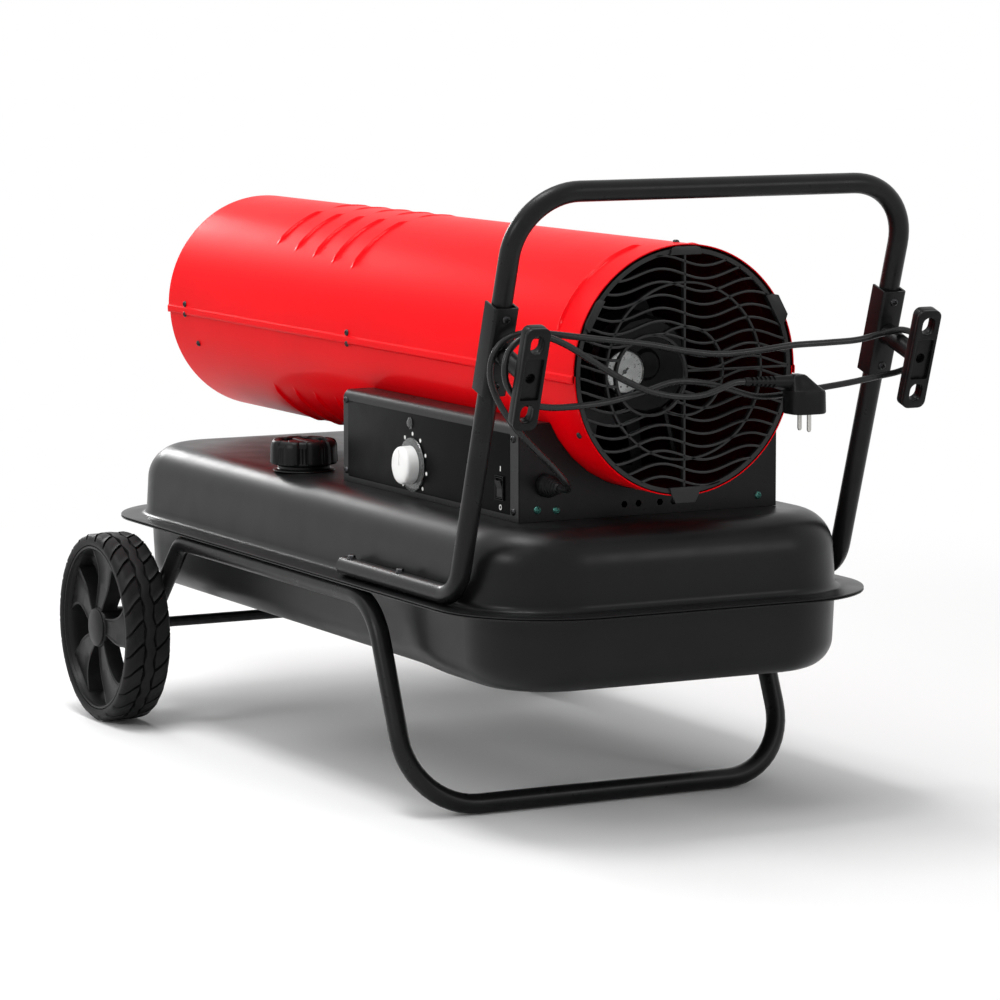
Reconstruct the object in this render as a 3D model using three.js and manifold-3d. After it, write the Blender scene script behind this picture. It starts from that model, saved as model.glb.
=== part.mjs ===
// Portable forced-air oil heater: a long round barrel with a fan and burner inside, standing over
// a pressed fuel tank that rides on two wheels and a tube foot, with a tube handle at the inlet end.
//
// Millimetres, +Z up. The sub-parts are modelled from the inlet rim of the barrel: x = 0 at the rim
// and negative towards the outlet, y = 0 in the barrel's plane of symmetry with the control side at
// -y, z = 0 on the floor. The last lines centre the heater's length on the origin.

import * as THREE from 'three';
import { mergeVertices } from 'three/addons/utils/BufferGeometryUtils.js';
import loadManifold from 'manifold-3d';

const wasm = await loadManifold();
wasm.setup();

// ------------------------------------------------------------------ driving dimensions

const GAP = 0.3; // air left between pieces that touch
const HOLE_CLEARANCE = 1; // holes in sheet are this much wider than what goes through them
const PAST = 5; // how far a cutting tool runs past the sheet it cuts
const SLIVER = 0.02; // edges shorter than this, left by cuts, are closed up
const NEAR = -1; // the control side
const FAR = 1;

const BARREL_LENGTH = 1073;
const BARREL_RADIUS = 135;
const BARREL_SHEET = 1.2;
const BARREL_AXIS_Z = 493;
const SEAM_LAP = 8.2; // how far the upper shell hangs over the lower one
const LOWER_SHELL_RADIUS = BARREL_RADIUS - BARREL_SHEET - 2 * GAP;
const LINER_RADIUS = LOWER_SHELL_RADIUS - BARREL_SHEET - 2 * GAP; // reach of what the barrel holds
const SHELL_STEPS = 20;
const BEAD_WIDTH = 9;
const BEAD_HEIGHT = 2.2;
const OUTLET_X = -BARREL_LENGTH;

const TANK_CENTRE_X = -503;
const FLANGE_LENGTH = 1104;
const FLANGE_WIDTH = 508;
const FLANGE_CORNER = 130;
const FLANGE_REACH = 32; // the flange beyond the tank's walls
const TANK_SHEET = 2;
const TANK_SEAM_Z = 243.3;
const TANK_TOP_Z = 331;
const TANK_BOTTOM_Z = 157;
const TANK_TOP_EDGE = 43;
const TANK_BOTTOM_EDGE = 33;
const TANK_CORNER_STEPS = 5;
const SIDE_RECESS = 8; // the lower shell is drawn in beside the frame tubes
const RECESS_STATIONS = [-255, -220, -185, -150];
const FLANGE_TOP_Z = TANK_SEAM_Z + GAP / 2 + TANK_SHEET;
const FLANGE_BOTTOM_Z = TANK_SEAM_Z - GAP / 2 - TANK_SHEET;

const TUBE_RADIUS = 11;
const TUBE_SIDES = 10;
const BEND_STEPS = 3;
const FRAME_Y = 238;
const FRAME_Z = FLANGE_BOTTOM_Z - GAP - TUBE_RADIUS;
const FOOT_X = -174.5;
const FOOT_Z = TUBE_RADIUS * Math.cos(Math.PI / TUBE_SIDES); // the foot bar lies on a flat facet
const FRAME_KNEE_X = -269;
const FRAME_HEEL_X = -797;

const WHEEL_RADIUS = 115.6;
const WHEEL_WIDTH = 57;
const WHEEL_OUTER_Y = 311.5;
const WHEEL_Y = WHEEL_OUTER_Y - WHEEL_WIDTH / 2;
const AXLE_X = -907;
const AXLE_RADIUS = 6.5;
const AXLE_LENGTH = 596;
const RIM_RADIUS = 101;
const HUB_FACE = 23; // the hub's outer face from the middle of the wheel
const SPOKES = 5;
const TREAD_BLOCKS = 12;
const TYRE_SIDES = 24;
const RIM_SIDES = 18;

const HANDLE_Y = 235;
const HANDLE_LEAN = Math.atan(0.326); // the legs lean towards the inlet
const HANDLE_JOINT = new THREE.Vector2(16.6, 529); // x, z where the hoop meets the legs
const HANDLE_TOP_Z = 691;
const HANDLE_BEND = 70;
const LEG_BEND = 45;
const LEG_END_X = -349;
const LEG_Z = FLANGE_TOP_Z + GAP + TUBE_RADIUS;

const BRACKET_LENGTH = 98;
const BRACKET_WIDTH = 28;
const BRACKET_FACE = 14; // the bracket's front face ahead of the tube's centre line
const POST_RADIUS = 10;
const CLEAT_BACK = 72;
const CLEAT_FRONT = 86;
const CLEAT_WIDTH = 28;
const CLEAT_HEIGHT = 112;
const CLEAT_SLOT_Z = 38;

const HOUSING_FRONT_X = -76;
const HOUSING_REAR_X = -507;
const HOUSING_HALF_WIDTH = 159.6;
const HOUSING_TOP_Z = 437;
const HOUSING_SHEET = 1.2;
const HOUSING_EDGE = 10;
const HOUSING_FLOOR_Z = TANK_TOP_Z + GAP;

const KNOB = { x: -328, z: 368, radius: 21.5, depth: 14.4, skirt: 31 };
const LENS = { x: -334, z: 414, radius: 5.3 };
const SWITCH = { x: -116.5, z: 365, width: 19, height: 26, holeWidth: 18, holeHeight: 25 };
const ROCKER_TILT = THREE.MathUtils.degToRad(8);
const GLAND = { y: -126.5, z: 370, exit: -44 };
const VENTS = { ys: [-30.5, -13, 13.5, 30.5], z: 344, radius: 4 };

const CAP = { x: -622, y: -157, radius: 38.5, bottom: 339.5, top: 366, lobes: 8 };
const NECK_RADIUS = 27;
const NECK_TOP_Z = 346;

const GRILLE = {
  radius: 131, rim: 5, depth: 6, bar: 2.8, pitch: 13.8, bars: 18,
  wave: 6.5, wavelength: 112, crest: -29, windowY: -40, windowZ: -3, window: 41,
  midRing: 93, innerRing: 46, ringWall: 2.6, clipAngles: [0, -62, 180, 60],
};

const PUMP_FRONT_X = -84;
const PUMP_SEAM_X = -96;
const PUMP_RADIUS = 54;
const MOTOR_FRONT_X = -124;
const MOTOR_REAR_X = -234;
const MOTOR_RADIUS = 58;
const MOTOR_BRACKET_X = [-200, -160];
const SHAFT_RADIUS = 6;
const FAN_RADIUS = 112;
const FAN_BLADES = 5;
const FAN_X = -252;
const BURNER_X = -418;
const CHAMBER_RADIUS = 98;
const CHAMBER_END_X = -1040;
const GAUGE = { y: -40, z: BARREL_AXIS_Z - 4, radius: 25, face: -60, back: -83.4 };
const NEEDLE_REST = 135; // degrees from pointing up, where the needle stands at no pressure

const CORD_RADIUS = 3.5;
const CORD_STEPS = 80;
const CORD_SIDES = 6;

// ------------------------------------------------------------------ materials

function finish(color, roughness, metalness) {
  return new THREE.MeshStandardMaterial({ color, roughness, metalness });
}

const RED_PAINT = finish(0xd80a12, 0.25, 0.1);
const BLACK_PAINT = finish(0x18181a, 0.45, 0.2);
const BLACK_PLASTIC = finish(0x121213, 0.5, 0);
const WHITE_PLASTIC = finish(0xe8e8e6, 0.4, 0);
const RUBBER = finish(0x161616, 0.85, 0);
const ZINC_STEEL = finish(0xb4b6b8, 0.35, 0.9);
const HOT_STEEL = finish(0x77736e, 0.5, 0.9);
const ALUMINIUM = finish(0xa9abae, 0.4, 0.9);
const BRASS = finish(0xb08d4a, 0.35, 0.9);
const BOARD_GREEN = finish(0x1c4a2c, 0.6, 0);
const CLEAR = finish(0xdfe6e8, 0.05, 0);
const CERAMIC = finish(0xe4ded0, 0.4, 0);

// ------------------------------------------------------------------ solids

// Turns a closed three.js geometry into a solid that can be joined and cut.
function solid(geometry) {
  const bare = geometry.clone();
  bare.deleteAttribute('normal');
  bare.deleteAttribute('uv');
  const merged = mergeVertices(bare);
  const points = merged.attributes.position.array;
  const index = merged.index.array;
  const triangles = [];
  let volume = 0;
  const [a, b, c] = [new THREE.Vector3(), new THREE.Vector3(), new THREE.Vector3()];
  for (let i = 0; i < index.length; i += 3) {
    const [p, q, r] = [index[i], index[i + 1], index[i + 2]];
    if (p === q || q === r || r === p) continue;
    triangles.push(p, q, r);
    a.fromArray(points, p * 3);
    b.fromArray(points, q * 3);
    c.fromArray(points, r * 3);
    volume += a.dot(b.cross(c));
  }
  if (volume < 0) triangles.reverse();
  return new wasm.Manifold(new wasm.Mesh({
    numProp: 3,
    vertProperties: new Float32Array(points),
    triVerts: new Uint32Array(triangles),
  }));
}

function joined(...solids) {
  return solids.reduce((whole, piece) => whole.add(piece));
}

function cut(body, ...tools) {
  return tools.reduce((rest, tool) => rest.subtract(tool), body);
}

// Closes up the edges of no length that cuts leave behind, with the triangles on them, and takes
// out flat folds, which are two triangles back to back on the same three points.
function withoutSlivers(geometry) {
  const merged = mergeVertices(geometry, SLIVER);
  const index = Array.from(merged.index.array);
  const kept = new Map();
  for (let i = 0; i < index.length; i += 3) {
    const corners = index.slice(i, i + 3);
    if (new Set(corners).size < 3) continue;
    const key = corners.toSorted((a, b) => a - b).join();
    if (kept.has(key)) kept.delete(key);
    else kept.set(key, corners);
  }
  merged.setIndex([...kept.values()].flat());
  return merged;
}

function part(name, material, body) {
  const mesh = body.getMesh();
  const bare = new THREE.BufferGeometry();
  bare.setAttribute('position', new THREE.BufferAttribute(mesh.vertProperties, mesh.numProp));
  bare.setIndex(new THREE.BufferAttribute(mesh.triVerts, 1));
  const geometry = withoutSlivers(bare);
  geometry.computeVertexNormals();
  const node = new THREE.Mesh(geometry, material);
  node.name = name;
  return node;
}

// ------------------------------------------------------------------ shapes and directions

const AXIS_X = new THREE.Vector3(1, 0, 0);
const AXIS_Y = new THREE.Vector3(0, 1, 0);
const AXIS_Z = new THREE.Vector3(0, 0, 1);
const EXTRUDE_TO_X = new THREE.Matrix4().makeBasis(AXIS_Y, AXIS_Z, AXIS_X);
const EXTRUDE_TO_Y = new THREE.Matrix4().makeBasis(AXIS_X, AXIS_Z, AXIS_Y.clone().negate());
const LATHE_TO_X = new THREE.Matrix4().makeBasis(AXIS_Z, AXIS_X, AXIS_Y);
const LATHE_TO_Z = new THREE.Matrix4().makeBasis(AXIS_Y, AXIS_Z, AXIS_X);

function extruded(shape, depth, curveSegments) {
  return new THREE.ExtrudeGeometry(shape, { depth, bevelEnabled: false, curveSegments });
}

// A (y, z) outline carried along X, an (x, z) outline along Y, and an (x, y) outline along Z.
function prismX(shape, from, to, curveSegments = 8) {
  return solid(extruded(shape, to - from, curveSegments).applyMatrix4(EXTRUDE_TO_X).translate(from, 0, 0));
}

function prismY(shape, from, to, curveSegments = 8) {
  return solid(extruded(shape, to - from, curveSegments).applyMatrix4(EXTRUDE_TO_Y).translate(0, to, 0));
}

function prismZ(shape, from, to, curveSegments = 8) {
  return solid(extruded(shape, to - from, curveSegments).translate(0, 0, from));
}

// A closed profile of [radius, distance along the axis] points, turned about a line along an axis.
function lathe(profile, sides) {
  return new THREE.LatheGeometry(profile.map(([r, h]) => new THREE.Vector2(r, h)), sides);
}

function turnedX(profile, y = 0, z = 0, sides = 24) {
  return solid(lathe(profile, sides).applyMatrix4(LATHE_TO_X).translate(0, y, z));
}

function turnedY(profile, x = 0, z = 0, sides = 24) {
  return solid(lathe(profile, sides).translate(x, 0, z));
}

function turnedZ(profile, x = 0, y = 0, sides = 24) {
  return solid(lathe(profile, sides).applyMatrix4(LATHE_TO_Z).translate(x, y, 0));
}

function rodProfile(radius, from, to) {
  return [[0, from], [radius, from], [radius, to], [0, to]];
}

function ringProfile(inner, outer, from, to) {
  return [[inner, from], [outer, from], [outer, to], [inner, to], [inner, from]];
}

function box(from, to) {
  const size = new THREE.Vector3().subVectors(to, from);
  const middle = new THREE.Vector3().addVectors(from, to).multiplyScalar(0.5);
  return solid(new THREE.BoxGeometry(size.x, size.y, size.z).translate(middle.x, middle.y, middle.z));
}

function block(x0, x1, y0, y1, z0, z1) {
  return box(new THREE.Vector3(x0, y0, z0), new THREE.Vector3(x1, y1, z1));
}

function roundedRectangle(width, height, radius, cx = 0, cy = 0) {
  const [w, h] = [width / 2, height / 2];
  const shape = new THREE.Shape();
  shape.absarc(cx + w - radius, cy - h + radius, radius, -Math.PI / 2, 0);
  shape.absarc(cx + w - radius, cy + h - radius, radius, 0, Math.PI / 2);
  shape.absarc(cx - w + radius, cy + h - radius, radius, Math.PI / 2, Math.PI);
  shape.absarc(cx - w + radius, cy - h + radius, radius, Math.PI, Math.PI * 1.5);
  return shape;
}

function polygon(points) {
  return new THREE.Shape(points.map(([u, v]) => new THREE.Vector2(u, v)));
}

function circlePoints(radius, sides, phase = 0) {
  const points = [];
  for (let i = 0; i < sides; i++) {
    const angle = phase + (i / sides) * Math.PI * 2;
    points.push([radius * Math.cos(angle), radius * Math.sin(angle)]);
  }
  return points;
}

// A skin through rings of equal point counts, closed by a flat fan over the first and last ring. Each
// quad is split along one diagonal, and those of the sides in otherWay along the other one.
function loft(rings, otherWay = []) {
  const count = rings[0].length;
  const positions = rings.flat().flatMap((point) => point.toArray());
  const index = [];
  for (let ring = 0; ring < rings.length - 1; ring++) {
    for (let i = 0; i < count; i++) {
      const a = ring * count + i;
      const b = ring * count + ((i + 1) % count);
      if (otherWay.includes(i)) index.push(a, b, a + count, b, b + count, a + count);
      else index.push(a, b, b + count, a, b + count, a + count);
    }
  }
  for (const [ring, flip] of [[0, true], [rings.length - 1, false]]) {
    const middle = new THREE.Vector3();
    rings[ring].forEach((point) => middle.add(point));
    middle.divideScalar(count);
    const centre = positions.length / 3;
    positions.push(...middle.toArray());
    for (let i = 0; i < count; i++) {
      const a = ring * count + i;
      const b = ring * count + ((i + 1) % count);
      index.push(...(flip ? [centre, b, a] : [centre, a, b]));
    }
  }
  const geometry = new THREE.BufferGeometry();
  geometry.setAttribute('position', new THREE.Float32BufferAttribute(positions, 3));
  geometry.setIndex(index);
  return solid(geometry);
}

// The centre line of a bent tube: straight runs joined by arcs, with a section only at the two ends
// and along each arc, so that the straight runs stay single long faces.
class BentPath extends THREE.Curve {
  constructor(corners, bendRadii, bendSteps) {
    super();
    this.bendSteps = bendSteps;
    this.stations = [{ point: corners[0], tangent: corners[1].clone().sub(corners[0]).normalize() }];
    for (let i = 1; i < corners.length - 1; i++) this.addBend(corners, i, bendRadii[i - 1]);
    const last = corners.length - 1;
    const end = corners[last].clone().sub(corners[last - 1]).normalize();
    this.stations.push({ point: corners[last], tangent: end });
  }

  addBend(corners, i, radius) {
    const before = corners[i].clone().sub(corners[i - 1]).normalize();
    const after = corners[i + 1].clone().sub(corners[i]).normalize();
    const turn = before.angleTo(after);
    const side = after.clone().addScaledVector(before, -after.dot(before)).normalize();
    const start = corners[i].clone().addScaledVector(before, -radius * Math.tan(turn / 2));
    for (let step = 0; step <= this.bendSteps; step++) {
      const angle = (turn * step) / this.bendSteps;
      this.stations.push({
        point: start.clone().addScaledVector(before, radius * Math.sin(angle))
          .addScaledVector(side, radius * (1 - Math.cos(angle))),
        tangent: before.clone().multiplyScalar(Math.cos(angle)).addScaledVector(side, Math.sin(angle)),
      });
    }
  }

  station(u) {
    return this.stations[Math.round(u * (this.stations.length - 1))];
  }

  getPointAt(u, target = new THREE.Vector3()) {
    return target.copy(this.station(u).point);
  }

  getTangentAt(u, target = new THREE.Vector3()) {
    return target.copy(this.station(u).tangent);
  }
}

const ROUND_TUBE = { radius: TUBE_RADIUS, sides: TUBE_SIDES, bendSteps: BEND_STEPS };

// A tube through corner points. Where a station is named, a facet of the tube faces down there.
function bentTube(corners, bendRadii, { radius, sides, bendSteps } = ROUND_TUBE, levelStation = -1) {
  const points = corners.map(([x, y, z]) => new THREE.Vector3(x, y, z));
  const path = new BentPath(points, bendRadii, bendSteps);
  const steps = path.stations.length - 1;
  let phase = 0;
  if (levelStation >= 0) {
    const { normals, binormals } = path.computeFrenetFrames(steps, false);
    phase = Math.atan2(-binormals[levelStation].z, -normals[levelStation].z) - Math.PI / sides;
  }
  const section = polygon(circlePoints(radius, sides, phase));
  return solid(new THREE.ExtrudeGeometry(section, { extrudePath: path, steps }));
}

// ------------------------------------------------------------------ tank

// One outline of the pressed tank: the flange's rounded rectangle drawn in by an inset.
function tankOutline(inset, z, recess, stations) {
  const halfX = FLANGE_LENGTH / 2 - inset;
  const halfY = FLANGE_WIDTH / 2 - inset;
  const radius = FLANGE_CORNER - inset;
  const outline = [];
  const corners = [[1, 1], [-1, 1], [-1, -1], [1, -1]];
  corners.forEach(([sx, sy], corner) => {
    for (let step = 0; step <= TANK_CORNER_STEPS; step++) {
      const angle = ((corner + step / TANK_CORNER_STEPS) * Math.PI) / 2;
      const x = sx * (halfX - radius) + radius * Math.cos(angle);
      const y = sy * (halfY - radius) + radius * Math.sin(angle);
      outline.push([x + TANK_CENTRE_X, y]);
    }
    if (corner === 0) stations.toReversed().forEach((x) => outline.push([x, halfY]));
    if (corner === 2) stations.forEach((x) => outline.push([x, -halfY]));
  });
  return outline.map(([x, y]) => {
    const drawn = recess ? 1 - THREE.MathUtils.smoothstep(x, stations[0], stations.at(-1)) : 0;
    return new THREE.Vector3(x, y * (1 - (drawn * recess) / halfY), z);
  });
}

// One half of the tank: a flange, a wall and a rounded edge into a flat face, all of one sheet.
function tankShell({ mouthZ, faceZ, edge, recess, stations }) {
  const up = Math.sign(faceZ - mouthZ);
  const sheet = up * TANK_SHEET;
  const root = 4;
  const draft = 2;
  const outline = (inset, z, drawn = recess) => tankOutline(inset, z, drawn, stations);
  const edgeRings = (inset, radius, z, steps) => {
    const arc = [];
    for (let step = 0; step <= steps; step++) {
      const angle = (step / steps) * (Math.PI / 2);
      arc.push(outline(inset + radius * (1 - Math.cos(angle)), z - up * radius * (1 - Math.sin(angle))));
    }
    return arc;
  };
  return loft([
    ...edgeRings(FLANGE_REACH + draft + TANK_SHEET, edge - TANK_SHEET, faceZ - sheet, 1).reverse(),
    outline(FLANGE_REACH + TANK_SHEET, mouthZ),
    outline(0, mouthZ, 0),
    outline(0, mouthZ + sheet, 0),
    outline(FLANGE_REACH - root, mouthZ + sheet),
    outline(FLANGE_REACH, mouthZ + sheet + up * root),
    ...edgeRings(FLANGE_REACH + draft, edge, faceZ, 4),
  ]);
}

const PICKUP = { x: -330, y: 30, radius: 7 };
const DRAIN = { x: -120, y: 0, radius: 8 };

function tankUpperShell() {
  const shell = tankShell({
    mouthZ: TANK_SEAM_Z + GAP / 2, faceZ: TANK_TOP_Z, edge: TANK_TOP_EDGE, recess: 0, stations: [],
  });
  const depth = 20;
  const hole = (radius, { x, y }, sides) => (
    turnedZ(rodProfile(radius + HOLE_CLEARANCE, TANK_TOP_Z - depth, TANK_TOP_Z + PAST), x, y, sides)
  );
  return cut(shell, hole(NECK_RADIUS, CAP, 16), hole(PICKUP.radius, PICKUP, 8));
}

function tankLowerShell() {
  const shell = tankShell({
    mouthZ: TANK_SEAM_Z - GAP / 2,
    faceZ: TANK_BOTTOM_Z,
    edge: TANK_BOTTOM_EDGE,
    recess: SIDE_RECESS,
    stations: RECESS_STATIONS,
  });
  const depth = 10;
  const bore = rodProfile(DRAIN.radius + HOLE_CLEARANCE, TANK_BOTTOM_Z - PAST, TANK_BOTTOM_Z + depth);
  return cut(shell, turnedZ(bore, DRAIN.x, DRAIN.y, 8));
}

function drainPlug() {
  const head = turnedZ(rodProfile(12, TANK_BOTTOM_Z - 8, TANK_BOTTOM_Z - GAP), DRAIN.x, DRAIN.y, 6);
  const thread = turnedZ(rodProfile(DRAIN.radius, TANK_BOTTOM_Z - 2, TANK_BOTTOM_Z + 9), DRAIN.x, DRAIN.y, 8);
  return joined(head, thread);
}

// The suction pipe hangs from the tank's top down to a filter near the bottom.
function fuelPickup() {
  const base = TANK_BOTTOM_Z + 8;
  const filter = 12;
  const pipe = 4;
  return turnedZ([
    [0, base], [filter, base], [filter, base + 40], [pipe, base + 46], [pipe, TANK_TOP_Z - 12],
    [PICKUP.radius, TANK_TOP_Z - 10], [PICKUP.radius, HOUSING_FLOOR_Z + 4], [3, HOUSING_FLOOR_Z + 6],
    [3, HOUSING_FLOOR_Z + 14], [0, HOUSING_FLOOR_Z + 14],
  ], PICKUP.x, PICKUP.y, 8);
}

function fillerNeck() {
  const collar = 33;
  const bore = NECK_RADIUS - 3;
  const base = TANK_TOP_Z - 12;
  return turnedZ([
    [bore, base], [NECK_RADIUS, base], [NECK_RADIUS, TANK_TOP_Z + GAP], [collar, TANK_TOP_Z + GAP],
    [collar, TANK_TOP_Z + 3], [NECK_RADIUS, TANK_TOP_Z + 5], [NECK_RADIUS, NECK_TOP_Z],
    [bore, NECK_TOP_Z], [bore, base],
  ], CAP.x, CAP.y, 14);
}

function fuelStrainer() {
  const wall = 1;
  const radius = NECK_RADIUS - 3.5 - GAP;
  const top = NECK_TOP_Z + GAP;
  const bottom = TANK_TOP_Z - 60;
  return turnedZ([
    [0, bottom], [radius - 4, bottom], [radius, top], [NECK_RADIUS, top], [NECK_RADIUS, top + wall],
    [radius - wall, top + wall], [radius - 4 - wall, bottom + wall], [0, bottom + wall],
  ], CAP.x, CAP.y, 12);
}

// The seal and the cap are modelled about the cap's own turning axis.
function capSeal() {
  const bottom = NECK_TOP_Z + 2 * GAP + 1;
  return turnedZ(ringProfile(22, 28, bottom, bottom + 2.6), 0, 0, 16);
}

function fuelCap() {
  const points = [];
  const steps = CAP.lobes * 4;
  const lobe = 2.2;
  const pocket = -0.45; // the pockets between the lobes are cut off flat here
  for (let i = 0; i < steps; i++) {
    const angle = (i / steps) * Math.PI * 2;
    const swell = Math.max(pocket, Math.cos(CAP.lobes * angle));
    const radius = CAP.radius - lobe + lobe * swell;
    points.push([radius * Math.cos(angle), radius * Math.sin(angle)]);
  }
  const chamfer = 3;
  const body = solid(new THREE.ExtrudeGeometry(polygon(points), {
    depth: CAP.top - CAP.bottom - chamfer,
    bevelThickness: chamfer,
    bevelSize: chamfer,
    bevelOffset: -chamfer,
    bevelSegments: 1,
  }).translate(0, 0, CAP.bottom));
  const ceiling = NECK_TOP_Z + 3 * GAP + 3.6;
  const skirt = turnedZ(rodProfile(NECK_RADIUS + 3.5, CAP.bottom - 10, ceiling), 0, 0, 16);
  const dish = turnedZ([[0, CAP.top - 5], [27, CAP.top - 5], [30, CAP.top + 1], [0, CAP.top + 1]], 0, 0, 20);
  const floorCut = turnedZ(rodProfile(CAP.radius + 2, CAP.bottom - 10, CAP.bottom), 0, 0, 12);
  const grip = block(-26, 26, -5, 5, CAP.top - 6, CAP.top - 0.5);
  return joined(cut(body, skirt, dish, floorCut), grip);
}

// ------------------------------------------------------------------ wheels and foot frame

function wheelFrame() {
  const lean = new THREE.Vector2(FRAME_HEEL_X - AXLE_X, FRAME_Z - WHEEL_RADIUS).normalize();
  const overrun = 15;
  const end = [AXLE_X - lean.x * overrun, WHEEL_RADIUS - lean.y * overrun];
  const side = (sign) => [
    [end[0], sign * FRAME_Y, end[1]],
    [FRAME_HEEL_X, sign * FRAME_Y, FRAME_Z],
    [FRAME_KNEE_X, sign * FRAME_Y, FRAME_Z],
    [FOOT_X, sign * FRAME_Y, FOOT_Z],
  ];
  const corners = [...side(NEAR), ...side(FAR).reverse()];
  const heel = 42;
  const knee = 72;
  const foot = 80;
  const footStation = 3 * (BEND_STEPS + 1); // where the foot bar's straight run starts
  const tube = bentTube(corners, [heel, knee, foot, foot, knee, heel], ROUND_TUBE, footStation);
  const reach = FRAME_Y + 2 * TUBE_RADIUS;
  return cut(tube, turnedY(rodProfile(AXLE_RADIUS + 0.5, -reach, reach), AXLE_X, WHEEL_RADIUS, 10));
}

function axle() {
  return turnedY(rodProfile(AXLE_RADIUS, -AXLE_LENGTH / 2, AXLE_LENGTH / 2), AXLE_X, WHEEL_RADIUS, 12);
}

// A curved window between two wheel spokes, swept round as it runs outwards.
function spokeWindow(turn) {
  const inner = 33;
  const outer = 89;
  const steps = 2;
  const swirl = 0.35;
  const half = [0.46, 0.4];
  const points = [];
  for (const [side, order] of [[-1, 1], [1, -1]]) {
    for (let i = 0; i <= steps; i++) {
      const t = order > 0 ? i / steps : 1 - i / steps;
      const radius = inner + (outer - inner) * t;
      const width = THREE.MathUtils.lerp(half[0], half[1], t);
      const angle = turn + swirl * t * t + side * width;
      points.push([radius * Math.cos(angle), radius * Math.sin(angle)]);
    }
  }
  return polygon(points);
}

// Modelled about the wheel's own centre: a hub and a rim joined by a dished web cut into spokes.
function wheelRim(side) {
  const wide = 26;
  const bore = AXLE_RADIUS + 0.5;
  const hub = 23;
  const rim = 94;
  const seat = RIM_RADIUS * Math.cos(Math.PI / TYRE_SIDES) - GAP; // inside the faceted tyre
  const webMiddle = side * 9;
  const webHalf = 5;
  const [hubBack, hubFront] = [-side * wide, side * HUB_FACE].sort((a, b) => a - b);
  const [back, front] = [webMiddle - webHalf, webMiddle + webHalf];
  const body = turnedY([
    [bore, hubBack], [hub, hubBack], [hub, back], [rim, back], [rim, -wide], [seat, -wide],
    [seat, wide], [rim, wide], [rim, front], [hub, front], [hub, hubFront], [bore, hubFront], [bore, hubBack],
  ], 0, 0, RIM_SIDES);
  const windows = [];
  for (let i = 0; i < SPOKES; i++) {
    windows.push(prismY(spokeWindow((i / SPOKES) * Math.PI * 2), -wide, wide));
  }
  return cut(body, ...windows);
}

function tyre() {
  const half = WHEEL_WIDTH / 2;
  const bead = half - 2;
  const wall = 108; // the radius at which the side wall is widest
  const shoulder = 22;
  const groove = 2.5;
  const slant = 0.35;
  const body = turnedY([
    [RIM_RADIUS, -bead], [wall, -half], [WHEEL_RADIUS, -shoulder], [WHEEL_RADIUS, -groove],
    [WHEEL_RADIUS - 2.6, 0], [WHEEL_RADIUS, groove], [WHEEL_RADIUS, shoulder], [wall, half],
    [RIM_RADIUS, bead], [RIM_RADIUS, -bead],
  ], 0, 0, TYRE_SIDES);
  const notch = polygon([[-2.4, 1], [0, -4], [2.4, 1]]);
  const cuts = [];
  for (let i = 0; i < TREAD_BLOCKS; i++) {
    for (const side of [-1, 1]) {
      const turn = ((i + (side > 0 ? 0.75 : 0.25)) / TREAD_BLOCKS) * Math.PI * 2;
      const slot = extruded(notch, 30)
        .applyMatrix4(EXTRUDE_TO_Y)
        .translate(0, 15, 0)
        .rotateZ(side * slant)
        .translate(0, side * 20, WHEEL_RADIUS)
        .rotateY(turn);
      cuts.push(solid(slot));
    }
  }
  return cut(body, joined(...cuts));
}

function hubCap(side) {
  const from = side * (HUB_FACE + GAP);
  return turnedY([
    [0, from], [23, from], [23, from + side * 2], [17, from + side * 3.9], [9, from + side * 4.7],
    [0, from + side * 4.9],
  ], 0, 0, 14);
}

// ------------------------------------------------------------------ handle

function legPoint(distance) {
  return [
    HANDLE_JOINT.x + distance * Math.sin(HANDLE_LEAN),
    HANDLE_JOINT.y + distance * Math.cos(HANDLE_LEAN),
  ];
}

function handleHoop() {
  const rise = (HANDLE_TOP_Z - HANDLE_JOINT.y) / Math.cos(HANDLE_LEAN);
  const [startX, startZ] = legPoint(GAP / 2);
  const [topX, topZ] = legPoint(rise);
  return bentTube([
    [startX, -HANDLE_Y, startZ], [topX, -HANDLE_Y, topZ],
    [topX, HANDLE_Y, topZ], [startX, HANDLE_Y, startZ],
  ], [HANDLE_BEND, HANDLE_BEND]);
}

function handleLeg(side) {
  const y = side * HANDLE_Y;
  const drop = (LEG_Z - HANDLE_JOINT.y) / Math.cos(HANDLE_LEAN);
  const [endX, endZ] = legPoint(-GAP / 2);
  const [cornerX] = legPoint(drop);
  return bentTube([[LEG_END_X, y, LEG_Z], [cornerX, y, LEG_Z], [endX, y, endZ]], [LEG_BEND]);
}

// The bracket and the cleat are modelled about the joint of hoop and leg, with the leg along z and
// the bracket's face towards +x; they are then leaned over with the handle.
function handleBracket() {
  const inner = TUBE_RADIUS + GAP;
  const half = BRACKET_WIDTH / 2;
  const channel = polygon([
    [-TUBE_RADIUS, -half], [BRACKET_FACE - 2, -half], [BRACKET_FACE, -half + 2], [BRACKET_FACE, half - 2],
    [BRACKET_FACE - 2, half], [-TUBE_RADIUS, half], [-TUBE_RADIUS, inner], [inner, inner],
    [inner, -inner], [-TUBE_RADIUS, -inner],
  ]);
  return prismZ(channel, -BRACKET_LENGTH / 2, BRACKET_LENGTH / 2);
}

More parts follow.
